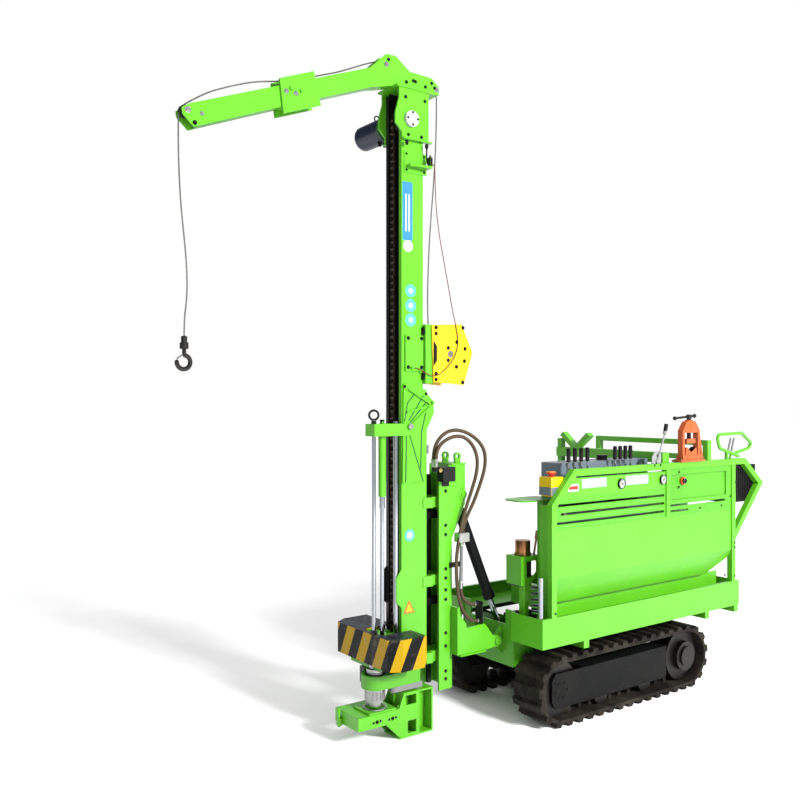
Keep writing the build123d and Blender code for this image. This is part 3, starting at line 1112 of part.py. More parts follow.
# Top of the mast
HEAD_PLATE = 12.0
HEAD_LOW = 3371.0
CAP_THICK = 12.0
HEAD_POINTS = [(1273, HEAD_LOW), (1273, MAST_TOP), (1480, MAST_TOP), (1480, 3590), (1506, 3503), (1506, 3448),
               (1461, 3402), (1461, HEAD_LOW)]
CAP_X = (1206.0, 1500.0)


def mast_head():
    """Side plates and cap at the top of the mast that carry the drive and the jib."""
    plate = side_plate(HEAD_POINTS, MAST_HALF, MAST_HALF + HEAD_PLATE)
    plate += block(1257, 1461, MAST_HALF, MAST_HALF + 26, HEAD_LOW - 8, HEAD_LOW + 0.5)
    plate -= disc(SPROCKET_X, SPROCKET_Z, SPROCKET_SHAFT + FIT, MAST_HALF - 1, MAST_HALF + HEAD_PLATE + 1)
    cap = block(*CAP_X, -MAST_HALF - 20, MAST_HALF + 20, MAST_TOP, MAST_TOP + CAP_THICK)
    return plate + mirrored(plate) + cap


MOTOR_RADIUS = 70.0
MOTOR_END_Y = -385.0


def feed_motor():
    """Drive motor on the far side, and the bearing cover on the near side."""
    near_end = -MAST_HALF - HEAD_PLATE
    motor = disc(SPROCKET_X, SPROCKET_Z, MOTOR_RADIUS - 14, near_end - 70, near_end)
    motor += disc(SPROCKET_X, SPROCKET_Z, MOTOR_RADIUS, MOTOR_END_Y, near_end - 69)
    cover = disc(SPROCKET_X, SPROCKET_Z, 43, MAST_HALF + HEAD_PLATE, MAST_HALF + HEAD_PLATE + 14)
    return motor, cover


def mast_switch():
    """Bent bracket on the near side below the head that carries the limit switch."""
    plate = block(1283, 1440, MAST_HALF, MAST_HALF + 5, 3180, 3300)
    arm = level_plate([(1283, MAST_HALF + 4), (1425, MAST_HALF + 4), (1425, MAST_HALF + 40),
                       (1300, MAST_HALF + 62), (1283, MAST_HALF + 62)], 3210, 3222)
    return plate + arm + block(1283, 1300, MAST_HALF + 36, MAST_HALF + 62, 3221, 3272)


# Jib
JIB_HALF = 40.0
JIB_PLATE = 6.0
NECK_POINTS = [(1160, 3690), (1163, 3728), (1215, 3765), (1372, 3768), (1470, 3835), (1535, 3833),
               (1645, 3732), (2060, 3571.3), (2030, 3473), (1630, 3628), (1560, 3645), (1500, 3662.3),
               (1215, 3662.3)]
NECK_HOLLOW = [(1150, 3640), (1150, 3850), (1600, 3850), (1600, 3745), (1520, 3700), (1350, 3676),
               (1240, 3676), (1205, 3650)]
JIB_END = ((2691.0, 3327.0), (2670.0, 3217.0))
COLLAR_POINTS = [(2009, 3628), (2211, 3548), (2188, 3371), (1966, 3456)]
COLLAR_PLATE = 12.0
FRONT_PULLEY = (1534.0, 3774.0)
REAR_PULLEY = (1177.0, 3705.0)
TIP_PULLEY = (2701.0, 3295.0)
PULLEY_RADIUS = 31.0
PULLEY_GROOVE = 25.0
PULLEY_HALF = 9.0
PULLEY_PIN = 8.0


def jib():
    """Gooseneck on the mast's cap, root section of the jib and the splice collar."""
    body = side_plate(NECK_POINTS, -JIB_HALF, JIB_HALF)
    body -= side_plate(NECK_HOLLOW, -JIB_HALF + JIB_PLATE, JIB_HALF - JIB_PLATE)
    collar = side_plate(COLLAR_POINTS, JIB_HALF, JIB_HALF + COLLAR_PLATE)
    for x, z in (FRONT_PULLEY, REAR_PULLEY):
        body -= disc(x, z, PULLEY_PIN + FIT, -JIB_HALF - 1, JIB_HALF + 1)
    for x, z in ((2144, 3510), (2083, 3509)):
        collar += disc(x, z, 11, JIB_HALF + COLLAR_PLATE - 1, JIB_HALF + COLLAR_PLATE + 9)
    return body + collar + mirrored(collar)


def jib_tip():
    """Outer section of the jib, pinned between the collar's plates."""
    body = side_plate([(2061, 3570.9), JIB_END[0], (2732, 3300), (2728, 3270), JIB_END[1], (2031, 3472.6)],
                      -JIB_HALF, JIB_HALF)
    body -= side_plate([(2630, 3400), (2800, 3400), (2800, 3200), (2650, 3200)],
                       -JIB_HALF + JIB_PLATE, JIB_HALF - JIB_PLATE)
    return body - disc(*TIP_PULLEY, PULLEY_PIN + FIT, -JIB_HALF - 1, JIB_HALF + 1)


def pulleys():
    """Three rope pulleys with their pins."""
    made = []
    for x, z in (REAR_PULLEY, FRONT_PULLEY, TIP_PULLEY):
        wheel = disc(x, z, PULLEY_GROOVE, -PULLEY_HALF, PULLEY_HALF)
        for side in (-1, 1):
            y0, y1 = sorted((side * (PULLEY_HALF - 3), side * PULLEY_HALF))
            wheel += disc(x, z, PULLEY_RADIUS, y0, y1)
        made.append(wheel + disc(x, z, PULLEY_PIN, -JIB_HALF - 4, JIB_HALF + 4))
    return made


# Winch
WINCH_HALF = 100.0
WINCH_PLATE = 10.0
DRUM_RADIUS = 62.0
FLANGE_RADIUS = 105.0
DRUM_SHAFT = 20.0
WINCH_BRACKET_X = 1254.0
WINCH_BRACKET_Z = (1995.0, 2330.0)
WINCH_POINTS = [(1255, 2003), (1266, 2328), (1046, 2342), (963, 2179), (1030, 1987)]


def winch_frame():
    """Two side plates of the winch and the ties between them."""
    plate = side_plate(WINCH_POINTS, WINCH_HALF, WINCH_HALF + WINCH_PLATE)
    plate -= disc(WINCH_X, WINCH_Z, DRUM_SHAFT + FIT, WINCH_HALF - 1, WINCH_HALF + WINCH_PLATE + 1)
    tie = bar((1010, -WINCH_HALF - 1, 2100), (1010, WINCH_HALF + 1, 2100), 9)
    upper_tie = bar((1060, -WINCH_HALF - 1, 2315), (1060, WINCH_HALF + 1, 2315), 9)
    return plate + mirrored(plate) + tie + upper_tie


def winch_bracket():
    """Welded channel and two cheek plates that carry the winch on the mast."""
    low, top = WINCH_BRACKET_Z
    bracket = block(WINCH_BRACKET_X, MAST_REAR_X, -WINCH_HALF, WINCH_HALF, low, top)
    bracket -= block(WINCH_BRACKET_X + 10, MAST_REAR_X - 12, -WINCH_HALF + 10, WINCH_HALF - 10, low - 1,
                     top + 1)
    cheek = block(1309, 1435, MAST_HALF, MAST_HALF + GUSSET_PLATE, 2063, 2265)
    clip = block(WIRE_POINTS[-1][0], WIRE_POINTS[-1][0] + 14, MAST_HALF + GUSSET_PLATE - 0.1, 95, 2074, 2088)
    return bracket, cheek + clip, mirrored(cheek)


def winch_drum():
    """Rope drum with its flanges, wound rope and shaft."""
    drum = disc(WINCH_X, WINCH_Z, DRUM_RADIUS, -WINCH_HALF + 6, WINCH_HALF - 6)
    for y in (-WINCH_HALF + 6, WINCH_HALF - 14):
        drum += disc(WINCH_X, WINCH_Z, FLANGE_RADIUS, y, y + 8)
    reach = WINCH_HALF + WINCH_PLATE - 1
    return drum + disc(WINCH_X, WINCH_Z, DRUM_SHAFT, -reach, reach)


def winch_motor():
    """Hydraulic motor on the winch's far side."""
    y = -WINCH_HALF - WINCH_PLATE
    return disc(WINCH_X, WINCH_Z, 60, y - 50, y) + disc(WINCH_X, WINCH_Z, 45, y - 150, y - 49)


# Foot and clamp under the mast
FOOT_X = (1233.0, 1471.0)
FOOT_TOP = 252.0
FOOT_PLATE = 10.0
FOOT_RIB_X = 1330.0


def mast_foot():
    """Welded foot under the mast: base, top, rear flange, web, rib and column."""
    body = block(*FOOT_X, -MAST_HALF, MAST_HALF, 0, FOOT_PLATE)
    body += block(FOOT_X[0], 1440, -MAST_HALF, MAST_HALF, FOOT_TOP - FOOT_PLATE, FOOT_TOP)
    body += block(FOOT_X[0], FOOT_X[0] + FOOT_PLATE, -MAST_HALF, MAST_HALF, 1, FOOT_TOP - 1)
    body += block(FOOT_RIB_X, FOOT_RIB_X + 14, -MAST_HALF, MAST_HALF, 1, FOOT_TOP - 1)
    body += block(FOOT_X[0] + 1, FOOT_X[1] - 12, -5, 5, 1, FOOT_TOP - 1)
    for side in (-1, 1):
        y0, y1 = sorted((side * MAST_HALF, side * (MAST_HALF - 10)))
        cheek = side_plate([(FOOT_RIB_X + 1, 1), (1450, 1), (FOOT_X[1], 20), (FOOT_X[1], 175), (1440, 245),
                            (FOOT_RIB_X + 1, 245)], y0, y1)
        cheek -= block(1352, 1428, y0 - 1, y1 + 1, 182, 236)
        cheek -= block(1352, 1412, y0 - 1, y1 + 1, 22, 92)
        body += cheek
    body += block(1429, 1441, -MAST_HALF + 1, MAST_HALF - 1, 173, FOOT_TOP - 1)
    return body + block(MAST_REAR_X, 1400, -60, 10, FOOT_TOP - 1, RING_LOW)


CLAMP_Z = (100.0, 172.0)
CLAMP_X = (FOOT_X[1], 1745.0)
CLAMP_Y = (-160.0, MAST_HALF)
CLAMP_HOLE = 58.0
CLAMP_SHEET = 10.0


def clamp_box():
    """Box in front of the foot with the guide hole for the drill string, and its gusset."""
    box = block(*CLAMP_X, *CLAMP_Y, *CLAMP_Z)
    box -= block(CLAMP_X[0] + CLAMP_SHEET, CLAMP_X[1] - CLAMP_SHEET, CLAMP_Y[0] + CLAMP_SHEET,
                 CLAMP_Y[1] - CLAMP_SHEET, CLAMP_Z[0] - 1, CLAMP_Z[1] - CLAMP_SHEET)
    box += block(SPINDLE_X - 95, SPINDLE_X + 85, -88, 70, CLAMP_Z[1] - 1, CLAMP_Z[1] + 10)
    box -= upright(SPINDLE_X, 0, CLAMP_HOLE, CLAMP_Z[0], CLAMP_Z[1] + 11)
    gusset = side_plate([(CLAMP_X[0], 12), (CLAMP_X[0] + 90, CLAMP_Z[0] + 1), (CLAMP_X[0], CLAMP_Z[0] + 1)],
                        CLAMP_Y[1] - CLAMP_SHEET, CLAMP_Y[1])
    return box + gusset + mirrored(gusset)


def clamp_pin():
    """Drop pin with its bracket at the clamp's front corner."""
    y = CLAMP_Y[0] + 60
    pin = upright(CLAMP_X[1] + 14, y, 8, 84, 186)
    return pin + block(CLAMP_X[1], CLAMP_X[1] + 24, y - 16, y + 16, 92, 132)


# Head
SPINDLE_SHAFT = 34.0
SLEEVE_RADIUS = 48.0
CHUCK_RADIUS = 55.0
HOUSING_X = (1506.0, 1612.0)
HOUSING_LOW = 405.0
GUARD_SHEET = 6.0


def head_gearbox():
    """Gear housing behind the guard, with the shelves that the rods stand on."""
    body = block(*HOUSING_X, -205, 75, HOUSING_LOW, ROD_SEAT_Z)
    body += block(1520, 1600, -200, -100, ROD_SEAT_Z - 1, GUARD_TOP - GUARD_SHEET - GAP)
    shelf_plate = block(1462, HOUSING_X[0] + 1, 20, 64, ROD_SEAT_Z - 35, ROD_SEAT_Z)
    body += shelf_plate + mirrored(shelf_plate)
    for y0, y1 in ((MAST_HALF + 6, MAST_HALF + 18), (-MAST_HALF - 18, -MAST_HALF - 6)):
        body += block(1420, HOUSING_X[0] + 10, y0, y1, 450, 580)
    body += block(HOUSING_X[0], HOUSING_X[0] + 11, 74, MAST_HALF + 18, 450, 580)
    body -= upright(SPINDLE_X, 0, SPINDLE_SHAFT + FIT, HOUSING_LOW - 1, 560)
    return body


def spindle():
    """Turning spindle with its sleeve and chuck, bored through."""
    body = upright(SPINDLE_X, 0, SPINDLE_SHAFT, 250, 558)
    body += upright(SPINDLE_X, 0, SLEEVE_RADIUS, 290, HOUSING_LOW - GAP)
    body += upright(SPINDLE_X, 0, CHUCK_RADIUS, 222, 292) + upright(SPINDLE_X, 0, 40, 200, 223)
    return body - upright(SPINDLE_X, 0, 25, 199, 559)


def guard_outline(inset):
    """Outline of the head's guard seen from above, drawn in by the inset."""
    corner = inset * 0.5
    far, near = GUARD_Y[0] + inset, GUARD_Y[1] - inset
    front_x, bend_x = GUARD_FRONT_X - inset, GUARD_BEND_X - corner
    return [(GUARD_REAR_X - inset, far), (bend_x, far), (front_x, GUARD_FRONT_Y[0] + corner),
            (front_x, GUARD_FRONT_Y[1] - corner), (bend_x, near), (GUARD_REAR_X - inset, near)]


def head_guard():
    """Folded guard round the head, open below and behind, with a hole in its top."""
    guard = level_plate(guard_outline(0), GUARD_LOW, GUARD_TOP)
    guard -= level_plate(guard_outline(GUARD_SHEET), GUARD_LOW - 1, GUARD_TOP - GUARD_SHEET)
    guard -= block(GUARD_REAR_X - 1, 1600, -88, 90, GUARD_TOP - GUARD_SHEET - 1, GUARD_TOP + 1)
    lips = [block(GUARD_REAR_X, GUARD_REAR_X + GUARD_SHEET, *sorted((start, end)), GUARD_LOW, GUARD_TOP - 1)
            for start, end in ((120, GUARD_Y[1] - 1), (-160, GUARD_Y[0] + 1))]
    return guard + lips[0] + lips[1]


# Hoist rope and hook
ROPE_RADIUS = 4.0
ROPE_START = (WINCH_X + DRUM_RADIUS + ROPE_RADIUS + 0.5, WINCH_Z)
ROPE_POINTS = [ROPE_START, (1206, 2285), (1212, 2405), (1213, 2525), (1209, 2645), (1203, 2765), (1195, 2885),
               (1184, 3005), (1172, 3125), (1162, 3245), (1154, 3365), (1149, 3485), (1147, 3610),
               (1147, 3729.8), (1536.3, 3805), (1636, 3769), (1730, 3724), (1825, 3679), (1925, 3641),
               (2022, 3606), (2112, 3572), (2210, 3545), (2310, 3524), (2410, 3489), (2505, 3449),
               (2580, 3413), (2640, 3374), (2731, 3310.6), (2733, 3200), (2732, 3090), (2728, 2975),
               (2721, 2860), (2710, 2747), (2697, 2630), (2688, 2510), (2689, 2390), (2703, 2292),
               (2703, 2206)]
ROPE_ON_PULLEY = {(1147, 3729.8): 30.0, (1536.3, 3805): 30.0, (2731, 3310.6): 30.0}


def hoist_rope():
    """Wire rope from the drum over the three pulleys down to the hook."""
    return cord_tube("hoist_rope", [(x, 0, z) for x, z in ROPE_POINTS], ROPE_RADIUS, ROPE_ON_PULLEY)


HOOK_X, HOOK_Z = 2706.0, 2083.0
HOOK_RADIUS = 34.0
HOOK_WIRE = 11.0


def hook():
    """Swivel block with its hook."""
    top = ROPE_POINTS[-1][1]
    swivel = upright(2703, 0, 15, top - 30, top) + upright(2703, 0, 21, top - 58, top - 29)
    arc = CenterArc((0, 0), HOOK_RADIUS, 95, 270)
    wire = sweep(Plane(origin=arc @ 0, z_dir=arc % 0) * Circle(HOOK_WIRE), path=arc)
    wire = Pos(HOOK_X, 0, HOOK_Z) * (Rot(90, 0, 0) * wire)
    neck = upright(2703, 0, 10, HOOK_Z + HOOK_RADIUS - 6, top - 50)
    tip = Pos(HOOK_X + HOOK_RADIUS, 0, HOOK_Z) * Sphere(HOOK_WIRE)
    return swivel + neck + wire + tip


def write_all():
    """Write every node of the machine."""
    save("track_left", track())
    save("track_right", mirrored(track()))
    save("track_frames", track_frame(), mirrored(track_frame()))
    save("idlers", idler(), mirrored(idler()))
    save("rollers", *rollers(), *[mirrored(roller) for roller in rollers()])
    save("drives", drive(), mirrored(drive()))
    save("chassis_frame", chassis_frame(), *cross_beams())
    save("deck_frame", deck_frame())
    save("side_frame", side_frame())
    save("lower_panel", lower_panel())
    save("slotted_panel", slotted_panel())
    save("gauge_panel", gauge_panel())
    save("gauges", *gauges(), key_switch())
    save("recess_panel", recess_panel())
    save("front_cover", front_cover())
    save("lever_bank", *lever_bank(), lever_shelf())
    save("hydraulic_tank", hydraulic_tank())
    save("engine_block", engine_block())
    save("engine_cover", engine_cover())
    save("oil_cooler", oil_cooler(), cooler_bracket())
    save("rod_rest", rod_rest())
    save("rear_frame", rear_frame())
    save("right_panel", right_panel())
    save("pipe_vise", pipe_vise())
    save("throttle_lever", throttle_lever())
    handle, levers = rear_handle()
    save("rear_handle", handle, *levers)
    save("stop_box", stop_box())
    save("shelf", shelf())
    save("valve_stand", valve_stand())
    save("coupler_post", coupler_post())
    save("mast_support", mast_support())
    save("support_brackets", *pivot_bracket(), *lifting_eyes())
    save("support_manifold", *support_manifold())
    save("support_hoses", *support_hoses())
    save("tilt_barrel", tilt_barrel())
    save("tilt_rod", tilt_rod())
    save("slide_barrel", slide_barrel())
    save("slide_rod", slide_rod())
    save("mast_column", mast_column())
    save("ring_arm", ring_arm(), *ring_fittings())
    save("crosshead", *crosshead(), *winch_bracket())
    save("feed_barrel", feed_barrel())
    save("feed_chain", feed_chain())
    save("chain_wheels", *chain_wheels())
    save("mast_head", mast_head(), mast_switch())
    save("feed_motor", *feed_motor())
    save("jib", jib())
    save("jib_tip", jib_tip())
    save("pulleys", *pulleys())
    save("winch_frame", winch_frame(), winch_motor())
    save("winch_drum", winch_drum())
    save("mast_foot", mast_foot())
    save("clamp_box", clamp_box(), clamp_pin())
    save("head_gearbox", head_gearbox())
    save("head_guard", head_guard())
    save("head_rods", *head_rods())
    save("spindle", spindle())
    save("hoist_rope", hoist_rope())
    save("mast_wire", mast_wire())
    save("hook", hook())


write_all()
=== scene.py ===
import bmesh
import bpy
import json
from math import cos, hypot, pi, radians, sin
from mathutils import Matrix, Vector

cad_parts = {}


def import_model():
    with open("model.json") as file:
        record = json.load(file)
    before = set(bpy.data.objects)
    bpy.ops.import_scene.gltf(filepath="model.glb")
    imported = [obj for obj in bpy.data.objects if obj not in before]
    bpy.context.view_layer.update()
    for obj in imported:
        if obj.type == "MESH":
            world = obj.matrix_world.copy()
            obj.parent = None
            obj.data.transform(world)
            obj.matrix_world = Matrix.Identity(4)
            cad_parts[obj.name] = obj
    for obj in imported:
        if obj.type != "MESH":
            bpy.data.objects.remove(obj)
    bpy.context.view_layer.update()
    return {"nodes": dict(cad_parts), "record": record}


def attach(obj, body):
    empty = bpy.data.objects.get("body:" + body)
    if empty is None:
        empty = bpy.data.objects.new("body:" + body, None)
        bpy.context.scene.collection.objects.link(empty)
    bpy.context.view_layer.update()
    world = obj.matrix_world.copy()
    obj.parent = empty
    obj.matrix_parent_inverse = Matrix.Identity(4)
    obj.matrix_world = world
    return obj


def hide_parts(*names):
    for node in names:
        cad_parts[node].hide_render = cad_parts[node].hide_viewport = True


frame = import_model()
NODES = frame["nodes"]
SHIFT = 0.6425                     # the source's X zero, in metres behind the model's middle
UP, DOWN = (0, 0, 1), (0, 0, -1)
NEAR, FAR = (0, 1, 0), (0, -1, 0)  # toward the photographed side, and away from it


def at(x, y, z):
    """Millimetres of the source's working frame as metres of the row frame."""
    return Vector((x / 1000 - SHIFT, y / 1000, z / 1000))


# Node helpers. A noise's scale is about the number of its patches in a metre.
def new_material(name):
    material = bpy.data.materials.new(name)
    material.use_nodes = True
    tree = material.node_tree
    tree.nodes.clear()
    out = tree.nodes.new("ShaderNodeOutputMaterial")
    shader = tree.nodes.new("ShaderNodeBsdfPrincipled")
    tree.links.new(shader.outputs[0], out.inputs[0])
    return material, tree, shader


def connect(tree, value, socket):
    """Set a socket to a number or a colour, or link it to another node's output."""
    if isinstance(value, (int, float)):
        socket.default_value = value
    elif isinstance(value, tuple):
        socket.default_value = (*value, 1)
    else:
        tree.links.new(value, socket)


def noise(tree, scale, detail=4.0, rough=0.55, stretch=(1, 1, 1)):
    place = tree.nodes.new("ShaderNodeTexCoord")
    mapping = tree.nodes.new("ShaderNodeMapping")
    mapping.inputs["Scale"].default_value = stretch
    made = tree.nodes.new("ShaderNodeTexNoise")
    for socket, value in (("Scale", scale), ("Detail", detail), ("Roughness", rough)):
        made.inputs[socket].default_value = value
    tree.links.new(place.outputs["Object"], mapping.inputs[0])
    tree.links.new(mapping.outputs[0], made.inputs["Vector"])
    return made.outputs["Fac"]


def ramp(tree, value, *stops):
    """Colour ramp of (place, colour) stops; a number in a colour's place is a grey."""
    made = tree.nodes.new("ShaderNodeValToRGB")
    ends = made.color_ramp.elements
    stops = [(place, (*(colour if isinstance(colour, tuple) else (colour,) * 3), 1))
             for place, colour in stops]
    ends[0].position, ends[0].color = stops[0]
    ends[1].position, ends[1].color = stops[-1]
    for place, colour in stops[1:-1]:
        ends.new(place).color = colour
    tree.links.new(value, made.inputs[0])
    return made.outputs[0]


def mix(tree, factor, first, second):
    """Mix of two colours; sockets 6 and 7 are the node's colours."""
    made = tree.nodes.new("ShaderNodeMix")
    made.data_type = "RGBA"
    for value, number in ((factor, 0), (first, 6), (second, 7)):
        connect(tree, value, made.inputs[number])
    return made.outputs[2]


def maths(tree, kind, first, second=0.0):
    made = tree.nodes.new("ShaderNodeMath")
    made.operation = kind
    connect(tree, first, made.inputs[0])
    connect(tree, second, made.inputs[1])
    return made.outputs[0]


def from_vectors(tree, kind, first, second=None):
    """Number made from one or two vectors; the second is an output or a fixed vector."""
    made = tree.nodes.new("ShaderNodeVectorMath")
    made.operation = kind
    tree.links.new(first, made.inputs[0])
    if isinstance(second, tuple):
        made.inputs[1].default_value = second
    elif second is not None:
        tree.links.new(second, made.inputs[1])
    return made.outputs["Value"]


def bump(tree, shader, height, strength, distance, normal=None):
    made = tree.nodes.new("ShaderNodeBump")
    if normal is not None:
        tree.links.new(normal, made.inputs["Normal"])
    made.inputs["Strength"].default_value = strength
    made.inputs["Distance"].default_value = distance
    tree.links.new(height, made.inputs["Height"])
    tree.links.new(made.outputs[0], shader.inputs["Normal"])


def rounded_edges(tree, radius):
    """Normal that rounds the edges off, and a mask that is white along them."""
    soft = tree.nodes.new("ShaderNodeBevel")
    soft.samples = 4
    soft.inputs["Radius"].default_value = radius
    geometry = tree.nodes.new("ShaderNodeNewGeometry")
    match = from_vectors(tree, "DOT_PRODUCT", soft.outputs[0], geometry.outputs["Normal"])
    return soft.outputs[0], ramp(tree, match, (0.8, 1), (0.97, 0))


def parted(tree, output):
    """X, Y and Z of one of the texture coordinates."""
    place = tree.nodes.new("ShaderNodeTexCoord")
    made = tree.nodes.new("ShaderNodeSeparateXYZ")
    tree.links.new(place.outputs[output], made.inputs[0])
    return made.outputs


def inside(tree, x0, x1, y0, y1, z0, z1):
    """1 inside a box of the source's frame, in mm."""
    axes = parted(tree, "Object")
    low, high = at(x0, y0, z0), at(x1, y1, z1)
    found = 1.0
    for axis in range(3):
        for test, limit in (("GREATER_THAN", low[axis]), ("LESS_THAN", high[axis])):
            found = maths(tree, "MULTIPLY", found, maths(tree, test, axes[axis], limit))
    return found


# Materials
DUST = (0.2, 0.17, 0.12)
UNDER_PAINT = (0.09, 0.085, 0.075)
OIL = (0.05, 0.04, 0.03)
EDGE_RADIUS = 0.0022               # metres
BAND_SLANT = -0.46
BANDS_PER_METRE = 6.1


def painted(name, colour, rough=0.34, coat=0.12, vary=0.07, dust=0.05, chips=0.35, peel=0.03, specular=0.4,
            zones=()):
    """Sprayed paint: slight random changes of tone, orange peel, thin dust, rubbed edges; zones of another
    colour, some of which are painted shade.
    """
    material, tree, shader = new_material(name)
    dark = tuple(c * (1 - vary) for c in colour)
    light = tuple(min(1, c * (1 + vary * 0.6)) for c in colour)
    base = ramp(tree, noise(tree, 3.0, 3), (0.3, dark), (0.7, light))
    for box, other in zones:
        base = mix(tree, inside(tree, *box), base, other)
    grime = ramp(tree, noise(tree, 4.0, 6, 0.6), (0.45, 0), (0.8, dust))
    base = mix(tree, grime, base, DUST)
    normal, edges = rounded_edges(tree, EDGE_RADIUS)
    worn = maths(tree, "MULTIPLY", edges, ramp(tree, noise(tree, 35.0, 6), (0.56, 0), (0.64, chips)))
    tree.links.new(mix(tree, worn, base, UNDER_PAINT), shader.inputs["Base Color"])
    tree.links.new(ramp(tree, noise(tree, 60.0, 5), (0.3, rough * 0.85), (0.75, min(1, rough * 1.35))),
                   shader.inputs["Roughness"])
    shader.inputs["Coat Weight"].default_value = coat
    shader.inputs["Coat Roughness"].default_value = 0.12
    shader.inputs["Specular IOR Level"].default_value = specular
    bump(tree, shader, noise(tree, 420.0, 2), peel, 0.0006, normal)
    return material


def metal(name, colour, rough=0.22, stain=0.25):
    """Bare or plated metal with fine drawn marks and a few oil stains."""
    material, tree, shader = new_material(name)
    marks = noise(tree, 120.0, 4, 0.6, (1, 1, 30))
    stains = ramp(tree, noise(tree, 14.0, 5, 0.65), (0.5, 0), (0.75, stain))
    tree.links.new(mix(tree, stains, colour, OIL), shader.inputs["Base Color"])
    tree.links.new(ramp(tree, marks, (0.3, rough * 0.7), (0.7, min(1, rough * 1.5))),
                   shader.inputs["Roughness"])
    shader.inputs["Metallic"].default_value = 1.0
    bump(tree, shader, marks, 0.06, 0.0004)
    return material


def rubber(name, colour, rough=0.75, dust=0.4, strength=0.25):
    """Dull rubber, plastic or cast iron with dust in its hollows."""
    material, tree, shader = new_material(name)
    worn = ramp(tree, noise(tree, 7.0, 6, 0.7), (0.42, 0), (0.72, dust))
    tree.links.new(mix(tree, worn, colour, DUST), shader.inputs["Base Color"])
    tree.links.new(ramp(tree, noise(tree, 30.0, 4), (0.3, rough * 0.85), (0.7, min(1, rough * 1.15))),
                   shader.inputs["Roughness"])
    shader.inputs["Specular IOR Level"].default_value = 0.14
    bump(tree, shader, noise(tree, 210.0, 5), strength, 0.001)
    return material


def hazard(name):
    """Yellow with slanted black bands on the upright faces; the top is a dark plate."""
    material, tree, shader = new_material(name)
    x, y, z = parted(tree, "Object")
    slant = maths(tree, "ADD", maths(tree, "SUBTRACT", y, x), maths(tree, "MULTIPLY", z, BAND_SLANT))
    wave = maths(tree, "FRACT", maths(tree, "MULTIPLY", slant, BANDS_PER_METRE))
    bands = ramp(tree, wave, (0.485, (0.3, 0.185, 0.003)), (0.5, (0.003, 0.003, 0.0035)))
    top = maths(tree, "GREATER_THAN", parted(tree, "Normal")[2], 0.6)
    plate = ramp(tree, noise(tree, 12.0, 6, 0.7), (0.35, (0.006, 0.009, 0.015)), (0.75, (0.02, 0.026, 0.034)))
    scuff = ramp(tree, maths(tree, "MULTIPLY", noise(tree, 26.0, 6, 0.7), noise(tree, 5.0, 3)),
                 (0.26, 0), (0.42, 0.3))
    tree.links.new(mix(tree, scuff, mix(tree, top, bands, plate), DUST), shader.inputs["Base Color"])
    tree.links.new(ramp(tree, noise(tree, 50.0, 4), (0.3, 0.25), (0.7, 0.5)), shader.inputs["Roughness"])
    shader.inputs["Specular IOR Level"].default_value = 0.12
    bump(tree, shader, noise(tree, 400.0, 2), 0.04, 0.0006)
    return material


LIME = (0.068, 0.305, 0.009)
# LIME_SHADE is the lime darkened as painted shade; it paints the dark-green parts, the ring arm and the
# cover's louvers
LIME_SHADE = (0.055, 0.25, 0.008)
YELLOW = (0.5, 0.33, 0.003)
BLACK = (0.004, 0.004, 0.0045)
SILVER = (0.13, 0.13, 0.13)
